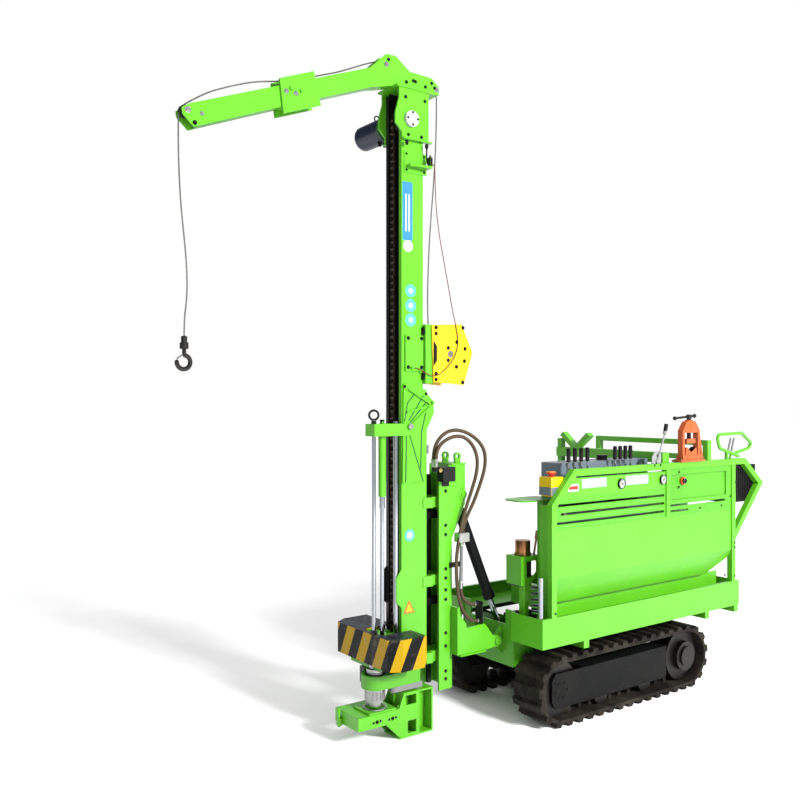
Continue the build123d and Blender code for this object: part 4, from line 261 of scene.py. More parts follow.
# A zone is a box of the source's frame, (x0, x1, y0, y1, z0, z1) in mm, and its colour
# The mast's two black zones are painted shade: its open channel behind the chain and the front face of its
# far flange
MAST_SHADE_ZONES = [((1380, 1455.6, -50.3, 50.3, 300, 3650), BLACK), ((1455.2, 1495, -82, -49.8, 300, 3640), BLACK)]
RING_ZONES = [((1300, 1520, 19, 77, 267, 299.95), SILVER), ((1574, 1608, -121, -78.2, 301, 393), BLACK)]
VALVE_ZONES = [((616, 714, 154, 259, 788, 960), BLACK), ((540, 601, 222, 262, 971, 1116), (0.26, 0.13, 0.06))]
M = {
    "lime": painted("paint_lime", LIME),
    "lime_shade": painted("paint_lime_shade", LIME_SHADE, rough=0.38),
    "deep": painted("paint_deep_green", (0.01, 0.07, 0.017), rough=0.45, dust=0.1),
    "black": painted("paint_black", BLACK, rough=0.45, dust=0.02, coat=0.0, specular=0.1),
    "tank": painted("paint_tank_grey", (0.09, 0.115, 0.14), rough=0.4),
    "orange": painted("paint_orange", (0.37, 0.065, 0.012), rough=0.45, chips=0.8, dust=0.12, vary=0.2),
    "yellow": painted("paint_yellow", YELLOW, rough=0.32),
    "motor": painted("paint_motor", (0.007, 0.012, 0.03), rough=0.3),
    "white": painted("enamel_white", (0.4, 0.4, 0.39), rough=0.35, dust=0.06, chips=0.1),
    "grey": painted("enamel_grey", (0.19, 0.195, 0.19), rough=0.4, dust=0.06, chips=0.1,
                    zones=[((-420, -180, 440, 500, 1700, 1760), BLACK)]),
    "lilac": painted("film_grey", (0.24, 0.24, 0.32), rough=0.4, dust=0.06, chips=0.1),
    "red": painted("plastic_red", (0.38, 0.012, 0.01), rough=0.3, dust=0.05, chips=0),
    "blue": painted("film_blue", (0.018, 0.13, 0.38), rough=0.35, dust=0.05, chips=0),
    "cyan": painted("film_light_blue", (0.06, 0.25, 0.43), rough=0.35, dust=0.02, chips=0),
    "dial": painted("gauge_face", (0.27, 0.27, 0.265), rough=0.12, coat=0.6, dust=0.0, chips=0.0, vary=0.02),
    "cooler": painted("paint_cooler", (0.006, 0.006, 0.0065), rough=0.7, coat=0.0, specular=0.15, peel=0.3),
    "mast": painted("paint_mast", LIME, zones=MAST_SHADE_ZONES),
    # The support's black zone is painted shade where the support lies between itself and the mast
    "support": painted("paint_support", LIME, zones=[((1111, 1200, -77.6, 77.6, 226, 1470), BLACK)]),
    # The winch's dark brown zone on its underside is painted shade
    "winch": painted("paint_winch", YELLOW,
                     zones=[((940, 1270, -99, 99, 1980, 1999.5), (0.03, 0.016, 0.005))]),
    "ring": painted("paint_ring_arm", LIME_SHADE, rough=0.4, zones=RING_ZONES),
    "stand": painted("paint_valve_stand", LIME, zones=VALVE_ZONES),
    "manifold": painted("paint_manifold", BLACK, rough=0.4, coat=0.0, specular=0.3,
                        zones=[((1030, 1061, 96.3, 118, 823, 1072), SILVER)]),
    "guard_tube": painted("paint_rear_tube", LIME, zones=[((-1180, -1040, 442, 467, 1530, 1640), SILVER)]),
    "hazard": hazard("paint_hazard"),
    "chrome": metal("chrome", (0.3, 0.32, 0.35), rough=0.09, stain=0.08),
    "steel": metal("steel_bare", (0.36, 0.36, 0.355), rough=0.32),
    "zinc": metal("steel_zinc", (0.42, 0.42, 0.41), rough=0.28),
    "dark_steel": metal("steel_dark", (0.055, 0.052, 0.05), rough=0.45),
    "chain": metal("steel_chain", (0.12, 0.085, 0.06), rough=0.42, stain=0.4),
    "copper": metal("copper_cap", (0.4, 0.17, 0.07), rough=0.3),
    "brass": metal("brass_fitting", (0.45, 0.32, 0.11), rough=0.25),
    "bolt": metal("steel_bolt", (0.03, 0.028, 0.027), rough=0.4, stain=0.2),
    "rope": metal("steel_rope", (0.3, 0.29, 0.28), rough=0.45),
    "rubber": rubber("rubber_track", (0.008, 0.0065, 0.0055), dust=0.12),
    "hose": rubber("rubber_hose", (0.05, 0.033, 0.02), rough=0.5, dust=0.1, strength=0.08),
    "grip": rubber("plastic_grip", (0.005, 0.005, 0.0055), rough=0.35, dust=0.02, strength=0.05),
    "wire": rubber("sheath_wire", (0.11, 0.02, 0.014), rough=0.45, dust=0.1, strength=0.05),
    "cast": rubber("iron_cast", (0.03, 0.03, 0.03), rough=0.6, dust=0.3, strength=0.3),
}
BY_SLOT = {"track_rubber": "rubber", "black_steel": "black", "dark_steel": "dark_steel",
           "dark_green": "lime_shade", "lime_green": "lime", "gauge_face": "white", "lever_black": "grip",
           "tank_grey": "tank", "engine_grey": "cast", "vise_orange": "orange", "stop_yellow": "yellow",
           "chrome": "chrome", "chain_steel": "chain", "motor_blue": "motor", "winch_yellow": "yellow",
           "rope_steel": "rope", "guard_stripes": "hazard", "light_steel": "steel", "hose_rubber": "hose",
           "wire_red": "wire"}
BY_NODE = {"mast_column": "mast", "mast_support": "support", "winch_frame": "winch", "ring_arm": "ring",
           "valve_stand": "stand", "support_manifold": "manifold", "rear_handle": "guard_tube",
           "throttle_lever": "grey", "oil_cooler": "cooler"}
for part in frame["record"]["subparts"]:
    node = NODES[part["node"]]
    node.data.materials.clear()
    node.data.materials.append(M[BY_NODE.get(part["node"]) or BY_SLOT[part["material_slot"]]])


# Camera: at the photograph's place, level, looking along the machine from its front left
CAMERA_AT = Vector((4.354 - SHIFT, 4.036, 1.9))
LOOK = Vector((-0.589, -0.808, 0)).normalized()
IMAGE_LEFT = (0.808, -0.589, 0.0)
RIGHT = -Vector(IMAGE_LEFT).normalized()
PHOTO_FOCAL = 876.0 / 800.0        # focal length over the picture's width
SENSOR = 36.0
camera_data = bpy.data.cameras.new("camera")
camera_data.sensor_width = SENSOR
camera_data.sensor_fit = "HORIZONTAL"
camera_data.lens = SENSOR * PHOTO_FOCAL
camera = bpy.data.objects.new("camera", camera_data)
bpy.context.scene.collection.objects.link(camera)
camera.matrix_world = Matrix.Translation(CAMERA_AT) @ Matrix((RIGHT, Vector(UP), -LOOK)).transposed().to_4x4()
bpy.context.scene.camera = camera


# Floor and light
FLOOR_HALF = 60.0                  # metres
FADE = 12.0                        # metres from the middle at which the floor has turned as white as the sky


def floor():
    mesh = bpy.data.meshes.new("floor")
    mesh.from_pydata([(x * FLOOR_HALF, y * FLOOR_HALF, 0) for x, y in ((-1, -1), (1, -1), (1, 1), (-1, 1))],
                     [], [(0, 1, 2, 3)])
    made = bpy.data.objects.new("floor", mesh)
    bpy.context.scene.collection.objects.link(made)
    material, tree, shader = new_material("floor")
    place = tree.nodes.new("ShaderNodeTexCoord")
    far = maths(tree, "DIVIDE", from_vectors(tree, "LENGTH", place.outputs["Object"]), FADE)
    near = ramp(tree, noise(tree, 2.0, 3), (0.3, 0.78), (0.7, 0.81))
    tree.links.new(mix(tree, ramp(tree, far, (0.3, 0), (0.75, 1)), near, (0.97, 0.97, 0.97)),
                   shader.inputs["Base Color"])
    tree.links.new(ramp(tree, far, (0.4, 0), (0.8, 0.12)), shader.inputs["Emission Color"])
    shader.inputs["Emission Strength"].default_value = 1.0
    shader.inputs["Roughness"].default_value = 0.9
    mesh.materials.append(material)


def area_light(name, place, target, size, power):
    """Square light that mirrors don't show."""
    data = bpy.data.lights.new(name, "AREA")
    data.size = size
    data.energy = power
    made = bpy.data.objects.new(name, data)
    bpy.context.scene.collection.objects.link(made)
    place, target = Vector(place), Vector(target)
    made.matrix_world = (Matrix.Translation(place)
                         @ (target - place).to_track_quat("-Z", "Y").to_matrix().to_4x4())
    made.visible_glossy = False


def world():
    """White to the eye; mirrors see it fall to a dark blue-grey toward the image's left."""
    made = bpy.data.worlds.new("world")
    made.use_nodes = True
    tree = made.node_tree
    back = tree.nodes["Background"]
    back.inputs[1].default_value = 1.0
    ray = tree.nodes.new("ShaderNodeLightPath")
    heading = tree.nodes.new("ShaderNodeTexCoord")
    leftward = from_vectors(tree, "DOT_PRODUCT", heading.outputs["Generated"], IMAGE_LEFT)
    studio = ramp(tree, leftward, (0.0, 1), (0.12, (0.1, 0.13, 0.19)), (0.9, (0.04, 0.05, 0.075)))
    tree.links.new(mix(tree, ray.outputs["Is Glossy Ray"], (1.0, 1.0, 1.0), studio), back.inputs[0])
    bpy.context.scene.world = made


floor()
area_light("key", (-0.9, 9.0, 5.2), (0, 0, 1.3), 1.6, 2300)
area_light("front", (8.0, 4.0, 5.0), (0, 0, 1.5), 5.0, 15)
area_light("fill", (-6.0, -7.0, 6.0), (0, 0, 1.2), 6.0, 90)
world()
bpy.context.scene.view_settings.view_transform = "Standard"


# Mesh helpers. A mesh is (vertices in metres, faces); sizes and places given to them are in mm.
SLOT_OF = {"rope": "rope_steel", "hose": "hose_rubber", "wire": "wire_red", "chain": "chain_steel",
           "bolt": "black_steel", "black": "black_steel", "lime": "lime_green", "deep": "dark_green",
           "lime_shade": "dark_green", "chrome": "chrome", "dark_steel": "dark_steel", "grip": "lever_black",
           "tank": "tank_grey", "motor": "motor_blue", "dial": "gauge_face", "lilac": "gauge_face"}


def settle(made, material, body, slot_name, replaced):
    """Put an object in the scene, on its body and in the place of a CAD node."""
    made.data.materials.append(M[material])
    bpy.context.scene.collection.objects.link(made)
    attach(made, body)
    slot_name or SLOT_OF.get(material, "light_steel")
    if replaced:
        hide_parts(replaced)
    return made


def piece(name, parts, material, body, slot_name=None, smooth=False, replaced=None):
    """Object from one mesh or a list of them."""
    vertices, faces = joined(parts) if isinstance(parts, list) else parts
    mesh = bpy.data.meshes.new(name)
    mesh.from_pydata(vertices, [], faces)
    mesh.validate()
    if smooth:
        mesh.shade_smooth()
        mesh.set_sharp_from_angle(angle=radians(35))
    return settle(bpy.data.objects.new(name, mesh), material, body, slot_name, replaced)


def joined(parts):
    vertices, faces = [], []
    for some_vertices, some_faces in parts:
        start = len(vertices)
        vertices += some_vertices
        faces += [tuple(start + i for i in face) for face in some_faces]
    return vertices, faces


def angles(count):
    return [2 * pi * n / count for n in range(count)]


def skin(rows, count, caps=True, looped=False):
    """Faces between rows of count points round a tube; a looped one joins its last row to its first."""
    faces = []
    for row in range(rows if looped else rows - 1):
        here, ahead = row * count, (row + 1) % rows * count
        faces += [(here + n, here + (n + 1) % count, ahead + (n + 1) % count, ahead + n)
                  for n in range(count)]
    if caps:
        faces += [tuple(range(count))[::-1], tuple(range((rows - 1) * count, rows * count))]
    return faces


def turned(start, axis, profile, count=20, looped=False):
    """Solid of revolution; profile rows are (distance along the axis, radius)."""
    along = Vector(axis).normalized()
    side = along.orthogonal().normalized()
    other = along.cross(side)
    vertices = [tuple(at(*start) + along * distance / 1000 + (side * cos(a) + other * sin(a)) * radius / 1000)
                for distance, radius in profile for a in angles(count)]
    return vertices, skin(len(profile), count, not looped, looped)


def upright(place, bottom, profile, count=24):
    """Solid of revolution that stands at a place (x, y), from a height upward."""
    return turned((*place, bottom), UP, profile, count)


def ring(start, inner, outer, high):
    """Upright ring with a square section."""
    return turned(start, UP, [(0, inner), (0, outer), (high, outer), (high, inner)], 32, looped=True)


def brick(x0, x1, y0, y1, z0, z1, chamfer):
    """Box with rounded edges."""
    made = bmesh.new()
    bmesh.ops.create_cube(made, size=1.0)
    for vertex in made.verts:
        vertex.co = at((x0 + x1) / 2 + vertex.co.x * (x1 - x0), (y0 + y1) / 2 + vertex.co.y * (y1 - y0),
                       (z0 + z1) / 2 + vertex.co.z * (z1 - z0))
    bmesh.ops.bevel(made, geom=made.edges[:], offset=chamfer / 1000, segments=2, affect="EDGES")
    made.verts.index_update()
    data = [tuple(v.co) for v in made.verts], [tuple(v.index for v in f.verts) for f in made.faces]
    made.free()
    return data


def bolt(place, axis, radius, high):
    """Hexagon bolt head on its washer, standing out of a face."""
    return joined([
        turned(place, axis, [(-0.5, radius * 1.28), (1.6, radius * 1.28), (1.9, radius * 1.15)], 16),
        turned(place, axis, [(1.4, radius), (high * 0.8, radius), (high, radius * 0.84)], 6)])


def outline_plate(outline, y0, y1, edge):
    """Plate whose outline (x, z) lies in the X-Z plane; its edge at y1 is rounded off."""
    middle_x = sum(x for x, z in outline) / len(outline)
    middle_z = sum(z for x, z in outline) / len(outline)
    vertices = []
    for y, inset in ((y0, 0.0), (y1 - edge if y1 > y0 else y1 + edge, 0.0), (y1, edge)):
        for x, z in outline:
            share = 1 - inset / hypot(x - middle_x, z - middle_z)
            vertices.append(tuple(at(middle_x + (x - middle_x) * share, y,
                                     middle_z + (z - middle_z) * share)))
    return vertices, skin(3, len(outline))


def film(outline, face, thick):
    """Sticker on an upright face."""
    return outline_plate(outline, face, face + thick, 0.3)


def field(outline, face, thick):
    """Field of another colour on a film of that thickness."""
    return outline_plate(outline, face + thick - 0.1, face + thick + 0.3, 0.1)


def rounded(x0, x1, z0, z1, radius):
    """Outline of a rectangle with round corners."""
    points = []
    for corner, (x, z) in enumerate(((x1 - radius, z1 - radius), (x0 + radius, z1 - radius),
                                     (x0 + radius, z0 + radius), (x1 - radius, z0 + radius))):
        for n in range(5):
            angle = pi / 2 * corner + pi / 8 * n
            points.append((x + radius * cos(angle), z + radius * sin(angle)))
    return points


def many_sided(x, z, radius, count, start=0.0):
    return [(x + radius * cos(start + a), z + radius * sin(start + a)) for a in angles(count)]


def frames(line):
    """Each point of a line, in metres, with two directions square to it that turn as little as they can."""
    side = None
    for index, point in enumerate(line):
        ahead = (line[min(index + 1, len(line) - 1)] - line[max(index - 1, 0)]).normalized()
        side = (ahead.orthogonal() if side is None else side - ahead * side.dot(ahead)).normalized()
        yield point, side, ahead.cross(side)


def tube(line, radius, count=10, caps=True):
    """Round tube along a line of points in metres."""
    vertices = [tuple(point + (side * cos(a) + other * sin(a)) * (radius / 1000))
                for point, side, other in frames(line) for a in angles(count)]
    return vertices, skin(len(line), count, caps)


def laid_rope(line, radius, strands=6, lay=0.052, per_strand=4):
    """Stranded rope: a lobed section that turns once in each lay (metres) as it goes along the line."""
    step = (line[1] - line[0]).length
    count = strands * per_strand
    vertices = []
    for index, (point, side, other) in enumerate(frames(line)):
        twist = 2 * pi * index * step / lay
        for a in angles(count):
            size = radius / 1000 * (0.8 + 0.2 * abs(cos(strands * a / 2)) ** 0.6)
            vertices.append(tuple(point + (side * cos(a + twist) + other * sin(a + twist)) * size))
    return vertices, skin(len(line), count)


def route(name, points, resolution):
    """Curve data of one smooth spline with the given control points."""
    data = bpy.data.curves.new(name, "CURVE")
    data.dimensions = "3D"
    data.resolution_u = resolution
    spline = data.splines.new("NURBS")
    spline.points.add(len(points) - 1)
    for point, place in zip(spline.points, points):
        point.co = (*at(*place), 1)
    spline.order_u = 3
    spline.use_endpoint_u = True
    return data


def route_line(points):
    """Points read from such a spline, in metres."""
    data = route("route", points, 12)
    holder = bpy.data.objects.new("route", data)
    mesh = bpy.data.meshes.new_from_object(holder)
    line = [v.co.copy() for v in mesh.vertices]
    bpy.data.objects.remove(holder)
    bpy.data.curves.remove(data)
    bpy.data.meshes.remove(mesh)
    return line


def evenly(line, step):
    """Points along a line, a step in metres apart."""
    total = sum((b - a).length for a, b in zip(line, line[1:]))
    count = max(2, round(total / step))
    spaced, walked, index = [line[0].copy()], 0.0, 0
    for n in range(1, count):
        goal = total * n / count
        while walked + (line[index + 1] - line[index]).length < goal:
            walked += (line[index + 1] - line[index]).length
            index += 1
        run = line[index + 1] - line[index]
        spaced.append(line[index] + run * ((goal - walked) / run.length))
    return spaced + [line[-1].copy()]


# Cords: the hoist rope, the support's hoses and the mast's wire, by their control points in mm
HOSE_RADIUS = 10.5
ROPE_RADIUS = 4.0
WIRE_RADIUS = 2.5
ROPE_STEP = 0.005                  # metres between the rope's sections
HOSE_OUTER = [(x, 107, z) for x, z in (
    (1254, 1532), (1254, 1585), (1238, 1648), (1192, 1697), (1133, 1724), (1057, 1725), (981, 1700),
    (911, 1657), (867, 1602), (857, 1536), (871, 1467), (907, 1384), (950, 1298), (994, 1229),
    (1028.3, 1169.3), (1041.3, 1121), (1042.7, 1073))]
HOSE_LOWER = [(x, 107, z) for x, z in (
    (1050, 822), (1051.2, 782), (1035.3, 741), (1004.7, 709.4), (964.2, 692.2), (926, 692.2))]
HOSE_INNER = [(x, 131, z) for x, z in (
    (1254, 1532), (1254, 1572), (1246, 1612), (1222, 1646), (1184, 1670), (1140, 1686), (1094, 1691),
    (1047, 1685), (994, 1652), (956, 1600), (940, 1535), (951, 1459), (986, 1373), (1024, 1288),
    (1055, 1203), (1075, 1130), (1092, 1058), (1104, 976), (1103, 893), (1097, 814), (1081, 730),
    (1046, 655), (1010, 618), (966, 600), (926, 600))]
WIRE = [(1282.9, 124, 3238), (1270, 124, 3238), (1260, 123.5, 3229), (1256, 123, 3214), (1254, 121, 3190),
        (1251, 119, 3140), (1246, 117, 3060), (1238, 116, 2970), (1226, 116, 2890), (1211, 116, 2810),
        (1193, 116, 2735), (1176, 116, 2660), (1158, 116, 2585), (1141, 116, 2510), (1125, 116, 2440),
        (1107, 116, 2370), (1088, 115, 2310), (1078, 115, 2255), (1081, 115, 2205), (1099, 115, 2158),
        (1132, 115, 2113), (1175, 115, 2073), (1222, 115, 2043), (1265, 115, 2036), (1307, 108, 2050),
        (1336, 96, 2071), (1360, 88.2, 2081), (1384, 88.2, 2081)]
ROPE = [(x, 0, z) for x, z in (
    (1196.5, 2165), (1206, 2285), (1212, 2405), (1213, 2525), (1209, 2645), (1203, 2765), (1195, 2885),
    (1184, 3005), (1172, 3125), (1162, 3245), (1154, 3365), (1149, 3485), (1147, 3610), (1147, 3729.8),
    (1536.3, 3805), (1636, 3769), (1730, 3724), (1825, 3679), (1925, 3641), (2022, 3606), (2112, 3572),
    (2210, 3545), (2310, 3524), (2410, 3489), (2505, 3449), (2580, 3413), (2640, 3374), (2731, 3310.6),
    (2733, 3200), (2732, 3090), (2728, 2975), (2721, 2860), (2710, 2747), (2697, 2630), (2688, 2510),
    (2689, 2390), (2703, 2292), (2703, 2206))]


def cord(name, points, radius, material, body, replaced):
    """Round cord on one smooth spline; a curve object."""
    data = route(name, points, 10)
    data.bevel_depth = radius / 1000
    data.bevel_resolution = 4
    data.use_fill_caps = True
    return settle(bpy.data.objects.new(name, data), material, body, None, replaced)


rope_line = evenly(route_line(ROPE), ROPE_STEP)
rope = piece("rope_strands", laid_rope(rope_line, ROPE_RADIUS), "rope", "mast", smooth=True,
             replaced="hoist_rope")
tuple(rope_line[0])
for name, points, length in (("hose_outer", HOSE_OUTER, 1.124), ("hose_lower", HOSE_LOWER, 0.208),
                             ("hose_inner", HOSE_INNER, 1.55)):
    hose = cord(name, points, HOSE_RADIUS, "hose", "support", "support_hoses")
    at(*points[0])
wire = cord("mast_wire_sheath", WIRE, WIRE_RADIUS, "wire", "mast", "mast_wire")
at(*WIRE[0])


# Feed chain round its two wheels
CHAIN_X, CHAIN_TOP, CHAIN_FOOT, CHAIN_RADIUS = 1400.0, 3480.0, 460.0, 62.0
CHAIN_LINKS = 168
LINK_HALF = 9.5
LINK_WAIST = 6.0
INNER_PLATE, OUTER_PLATE = (6.6, 9.4), (9.9, 12.6)      # from and to, on each side of the chain's middle


def chain_point(distance):
    """Point (x, z) of the chain's loop at a distance along it."""
    run, half_turn = CHAIN_TOP - CHAIN_FOOT, pi * CHAIN_RADIUS
    distance = distance % (2 * run + 2 * half_turn)
    if distance < run:
        return CHAIN_X + CHAIN_RADIUS, CHAIN_FOOT + distance
    if distance < run + half_turn:
        angle = (distance - run) / CHAIN_RADIUS
        return CHAIN_X + CHAIN_RADIUS * cos(angle), CHAIN_TOP + CHAIN_RADIUS * sin(angle)
    if distance < 2 * run + half_turn:
        return CHAIN_X - CHAIN_RADIUS, CHAIN_TOP - (distance - run - half_turn)
    angle = pi + (distance - 2 * run - half_turn) / CHAIN_RADIUS
    return CHAIN_X + CHAIN_RADIUS * cos(angle), CHAIN_FOOT + CHAIN_RADIUS * sin(angle)


def chain_plate(first, second, y0, y1):
    """Waisted side plate of a link between two pins, each (x, z)."""
    first, second = Vector((first[0], 0, first[1])), Vector((second[0], 0, second[1]))
    along = (second - first).normalized()
    across = Vector((-along.z, 0, along.x))
    outline = []
    for centre, start, waist in ((second, -pi / 2, LINK_WAIST), (first, pi / 2, -LINK_WAIST)):
        for n in range(5):
            angle = start + pi * n / 4
            outline.append(centre + (along * cos(angle) + across * sin(angle)) * LINK_HALF)
        outline.append((first + second) / 2 + across * waist)
    vertices = [tuple(at(v.x, y, v.z)) for y in (y0, y1) for v in outline]
    count = len(outline)
    faces = [tuple(range(count)), tuple(range(count, 2 * count))[::-1]]
    faces += [(n, n + count, (n + 1) % count + count, (n + 1) % count) for n in range(count)]
    return vertices, faces


def roller_chain():
    """Outer and inner plates by turns, rollers and pins."""
    total = 2 * (CHAIN_TOP - CHAIN_FOOT) + 2 * pi * CHAIN_RADIUS
    pins = [chain_point(total * n / CHAIN_LINKS) for n in range(CHAIN_LINKS)]
    parts = []
    for index, (x, z) in enumerate(pins):
        inner, outer = INNER_PLATE if index % 2 else OUTER_PLATE
        for y0, y1 in ((-outer, -inner), (inner, outer)):
            parts.append(chain_plate((x, z), pins[(index + 1) % CHAIN_LINKS], y0, y1))
        parts.append(turned((x, -6.4, z), NEAR, [(0, 8), (12.8, 8)], 10))
        parts.append(turned((x, -13.6, z), NEAR, [(0, 3.6), (27.2, 3.6)], 8))
    return joined(parts)


piece("feed_chain_links", roller_chain(), "chain", "mast", replaced="feed_chain")


# Winch: the drum's winding, one lathed shape
DRUM = (1130, 0, 2165)
DRUM_TURNS, FIRST_TURN, TURN_RADIUS = 20, -76, 61.5


def rope_turn(y, radius):
    """Half round of the rope's section on the drum."""
    return [(y + ROPE_RADIUS * cos(pi - pi * n / 6), radius + ROPE_RADIUS * sin(pi * n / 6))
            for n in range(7)]


winding = [point for n in range(DRUM_TURNS)
           for point in rope_turn(FIRST_TURN + 2 * ROPE_RADIUS * n, TURN_RADIUS)]
piece("drum_windings", turned(DRUM, NEAR, [(-80, 55)] + winding + [(80, 55)], 40), "rope", "drum",
      smooth=True)
piece("drum_last_turn", turned(DRUM, NEAR, rope_turn(0, 65.8), 40), "rope", "drum", smooth=True)
# A thin black plate on the winch's near face paints the shade in its recess
piece("winch_recess_shade", outline_plate([(1256, 2242), (1230, 2208), (1230, 2124), (1256, 2091)],
                                    110, 110.8, 0.3), "black", "mast", "winch_yellow")
piece("winch_blocks", [brick(1270, 1318, 75.2, 93, z0, z1, 3) for z0, z1 in ((2272, 2314), (2016, 2056))],
      "black", "mast")


# Bolt heads on upright faces: the sign of y is the side that they look to, and their places are (x, z)
HUB_PLACES = [place for x in (588, -588) for place in many_sided(x, 207, 46, 6)]
SUPPORT_PLACES = [(1150, z) for z in (1428, 1372, 1174, 1120, 922, 869, 800, 745, 551, 475, 330, 285)]
for name, body, material, y, head_radius, high, places in (
        ("winch_bolts", "mast", "bolt", 110, 9, 7, (
            (1237, 2315), (1237, 2280), (1037, 2322), (1083, 2237), (1147, 2201), (1021, 2200), (1147, 2129),
            (1025, 2128), (1086, 2093), (1237, 2051), (1237, 2017), (1039, 2003))),
        ("cheek_bolts", "mast", "bolt", 85, 9, 7, ((1416, 2248), (1322, 2249), (1416, 2085), (1322, 2085))),
        ("winch_bolts_far", "mast", "bolt", -110, 9, 7, (
            (1235, 2303), (1235, 2262), (1070, 2312), (1018, 2158), (1018, 2064), (1240, 2060),
            (1240, 2022))),
        ("collar_bolts", "mast", "zinc", 52, 11, 7, ((2173, 3489), (2116, 3488))),
        ("neck_bolts", "mast", "bolt", 40, 8, 7, (
            (1520, 3804), (1347, 3722), (1332, 3720), (1396, 3705), (1260, 3705), (1214, 3735),
            (1193, 3712))),
        ("jib_tip_pins", "mast", "zinc", 40, 9, 7, ((2629, 3289),)),
        ("jib_tip_bolt", "mast", "bolt", 40, 9, 7, ((2665, 3238),)),
        ("bearing_bolts", "mast", "bolt", 108, 6, 5, many_sided(CHAIN_X, CHAIN_TOP, 34, 4)),
        ("head_plate_bolts", "mast", "bolt", 87, 8, 7, (
            (1417, 3392), (1325, 3392), (1436, 3600), (1300, 3600))),
        ("motor_bolts", "mast", "bolt", -385, 7, 7, many_sided(CHAIN_X, CHAIN_TOP, 60, 4, pi / 4)),
        ("switch_plate_bolts", "mast", "bolt", 80, 6, 5, (
            (1300, 3285), (1425, 3285), (1425, 3195), (1300, 3195))),
        ("crosshead_bolts", "mast", "bolt", 85, 7, 6, ((1440, 1975), (1290, 1935))),
        ("support_bolts", "support", "bolt", 90, 8, 7, SUPPORT_PLACES),
        ("support_bolts_far", "support", "bolt", -90, 8, 7, SUPPORT_PLACES),
        ("hub_bolts_left", "machine", "bolt", 470, 6.5, 6, HUB_PLACES),
        ("hub_bolts_right", "machine", "bolt", -470, 6.5, 6, HUB_PLACES),
        ("rail_screws", "machine", "bolt", 490, 6, 4, (
            (-234, 1484), (-294, 1483), (-1107, 910), (-1107, 878), (-1117, 1330), (661, 669), (-990, 699),
            (-1107, 680))),
        ("panel_screws", "machine", "bolt", 482, 6, 4, (
            (-494, 1429), (-494, 1331), (-720, 1179), (-963, 1178), (618, 1290), (-1066, 1234)))):
    piece(name, [bolt((x, y, z), NEAR if y > 0 else FAR, head_radius, high) for x, z in places],
          material, body)


# Mast top: bearing, feed motor with its gear case and eye, connectors and switch
piece("bearing_cover", turned((CHAIN_X, 87, CHAIN_TOP), NEAR, [
    (0, 45), (18, 45), (20.5, 43), (21, 40), (21, 4)], 36), "white", "mast", smooth=True)
piece("motor_case", turned((CHAIN_X, -87, CHAIN_TOP), FAR, [
    (0, 66), (6, 66), (9, 58), (30, 58), (32, 62), (38, 62), (40, 58), (60, 58), (64, 68), (70.5, 70.6)], 40),
      "deep", "mast", smooth=True)
fins = [(18 * n + along, radius) for n in range(1, 12)
        for along, radius in ((0, 72), (2, 69.6), (6, 69.6), (8, 72))]
piece("motor_shell", turned((CHAIN_X, -160, CHAIN_TOP), FAR, [(0, 70.4), (4, 72)] + fins + [
    (222, 72), (225.5, 68), (225.8, 40), (224, 12)], 40), "motor", "mast", smooth=True)
eye_line = [at(x, -250, z) for x, z in many_sided(1400, 3568, 17, 24)]
piece("motor_eye", [tube(eye_line + eye_line[:1], 4.2, caps=False),
                    turned((1400, -250, 3548), UP, [(0, 12), (5, 12), (6, 7), (10, 6)], 16)],
      "motor", "mast", smooth=True)
piece("motor_ports", [turned((x, -190, 3415), DOWN, [(0, 14), (14, 14), (14.5, 11), (26, 11), (27, 8)], 6)
                      for x in (1385, 1420)], "bolt", "mast")
piece("cap_bolts", [bolt((x, y, 3662), UP, 8, 6) for x in (1225, 1480) for y in (-78, 78)], "bolt", "mast")
piece("head_connectors", [turned((x, 104, 3352), DOWN, [(0, 9), (4, 11), (18, 11), (20, 8), (26, 8)], 6)
                          for x in (1440, 1300)] +
      [tube([at(1300, 104, 3330), at(1300, 104, 3270), at(1296, 106, 3240)], 4.5)],
      "grip", "mast", "black_steel", smooth=True)
piece("switch_body", [brick(1281.5, 1301.5, 110, 138, 3221.5, 3273.5, 2.5),
                      turned((1291, 124, 3272), UP, [(0, 7), (6, 7), (8, 5), (14, 5), (15.5, 3)], 14)],
      "grip", "mast")


# Pulleys and hook
piece("pulley_pins", [turned((x, side * 40, z), (0, side, 0), [
    (0, 16), (1.5, 16), (2.4, 14), (2.4, 9), (4.6, 9), (5.2, 7)])
    for x, z in ((1177, 3705), (1534, 3774), (2701, 3295)) for side in (-1, 1)], "zinc", "mast")
piece("hook_swivel", [
    turned((2703, 0, 2206), DOWN, [
        (-4, 9), (0, 15.6), (6, 15.6), (8, 14), (24, 14), (26, 15.6), (29, 15.6)], 24),
    turned((2703, 0, 2177), DOWN, [
        (0, 21.8), (6, 21.8), (7, 20), (20, 20), (21, 21.8), (29, 21.8), (31, 14)], 6)],
      "dark_steel", "mast")
piece("hook_latch", outline_plate([(2697, 2126), (2702, 2131), (2741, 2101), (2739, 2094)], -5, 5, 1.0),
      "steel", "mast")


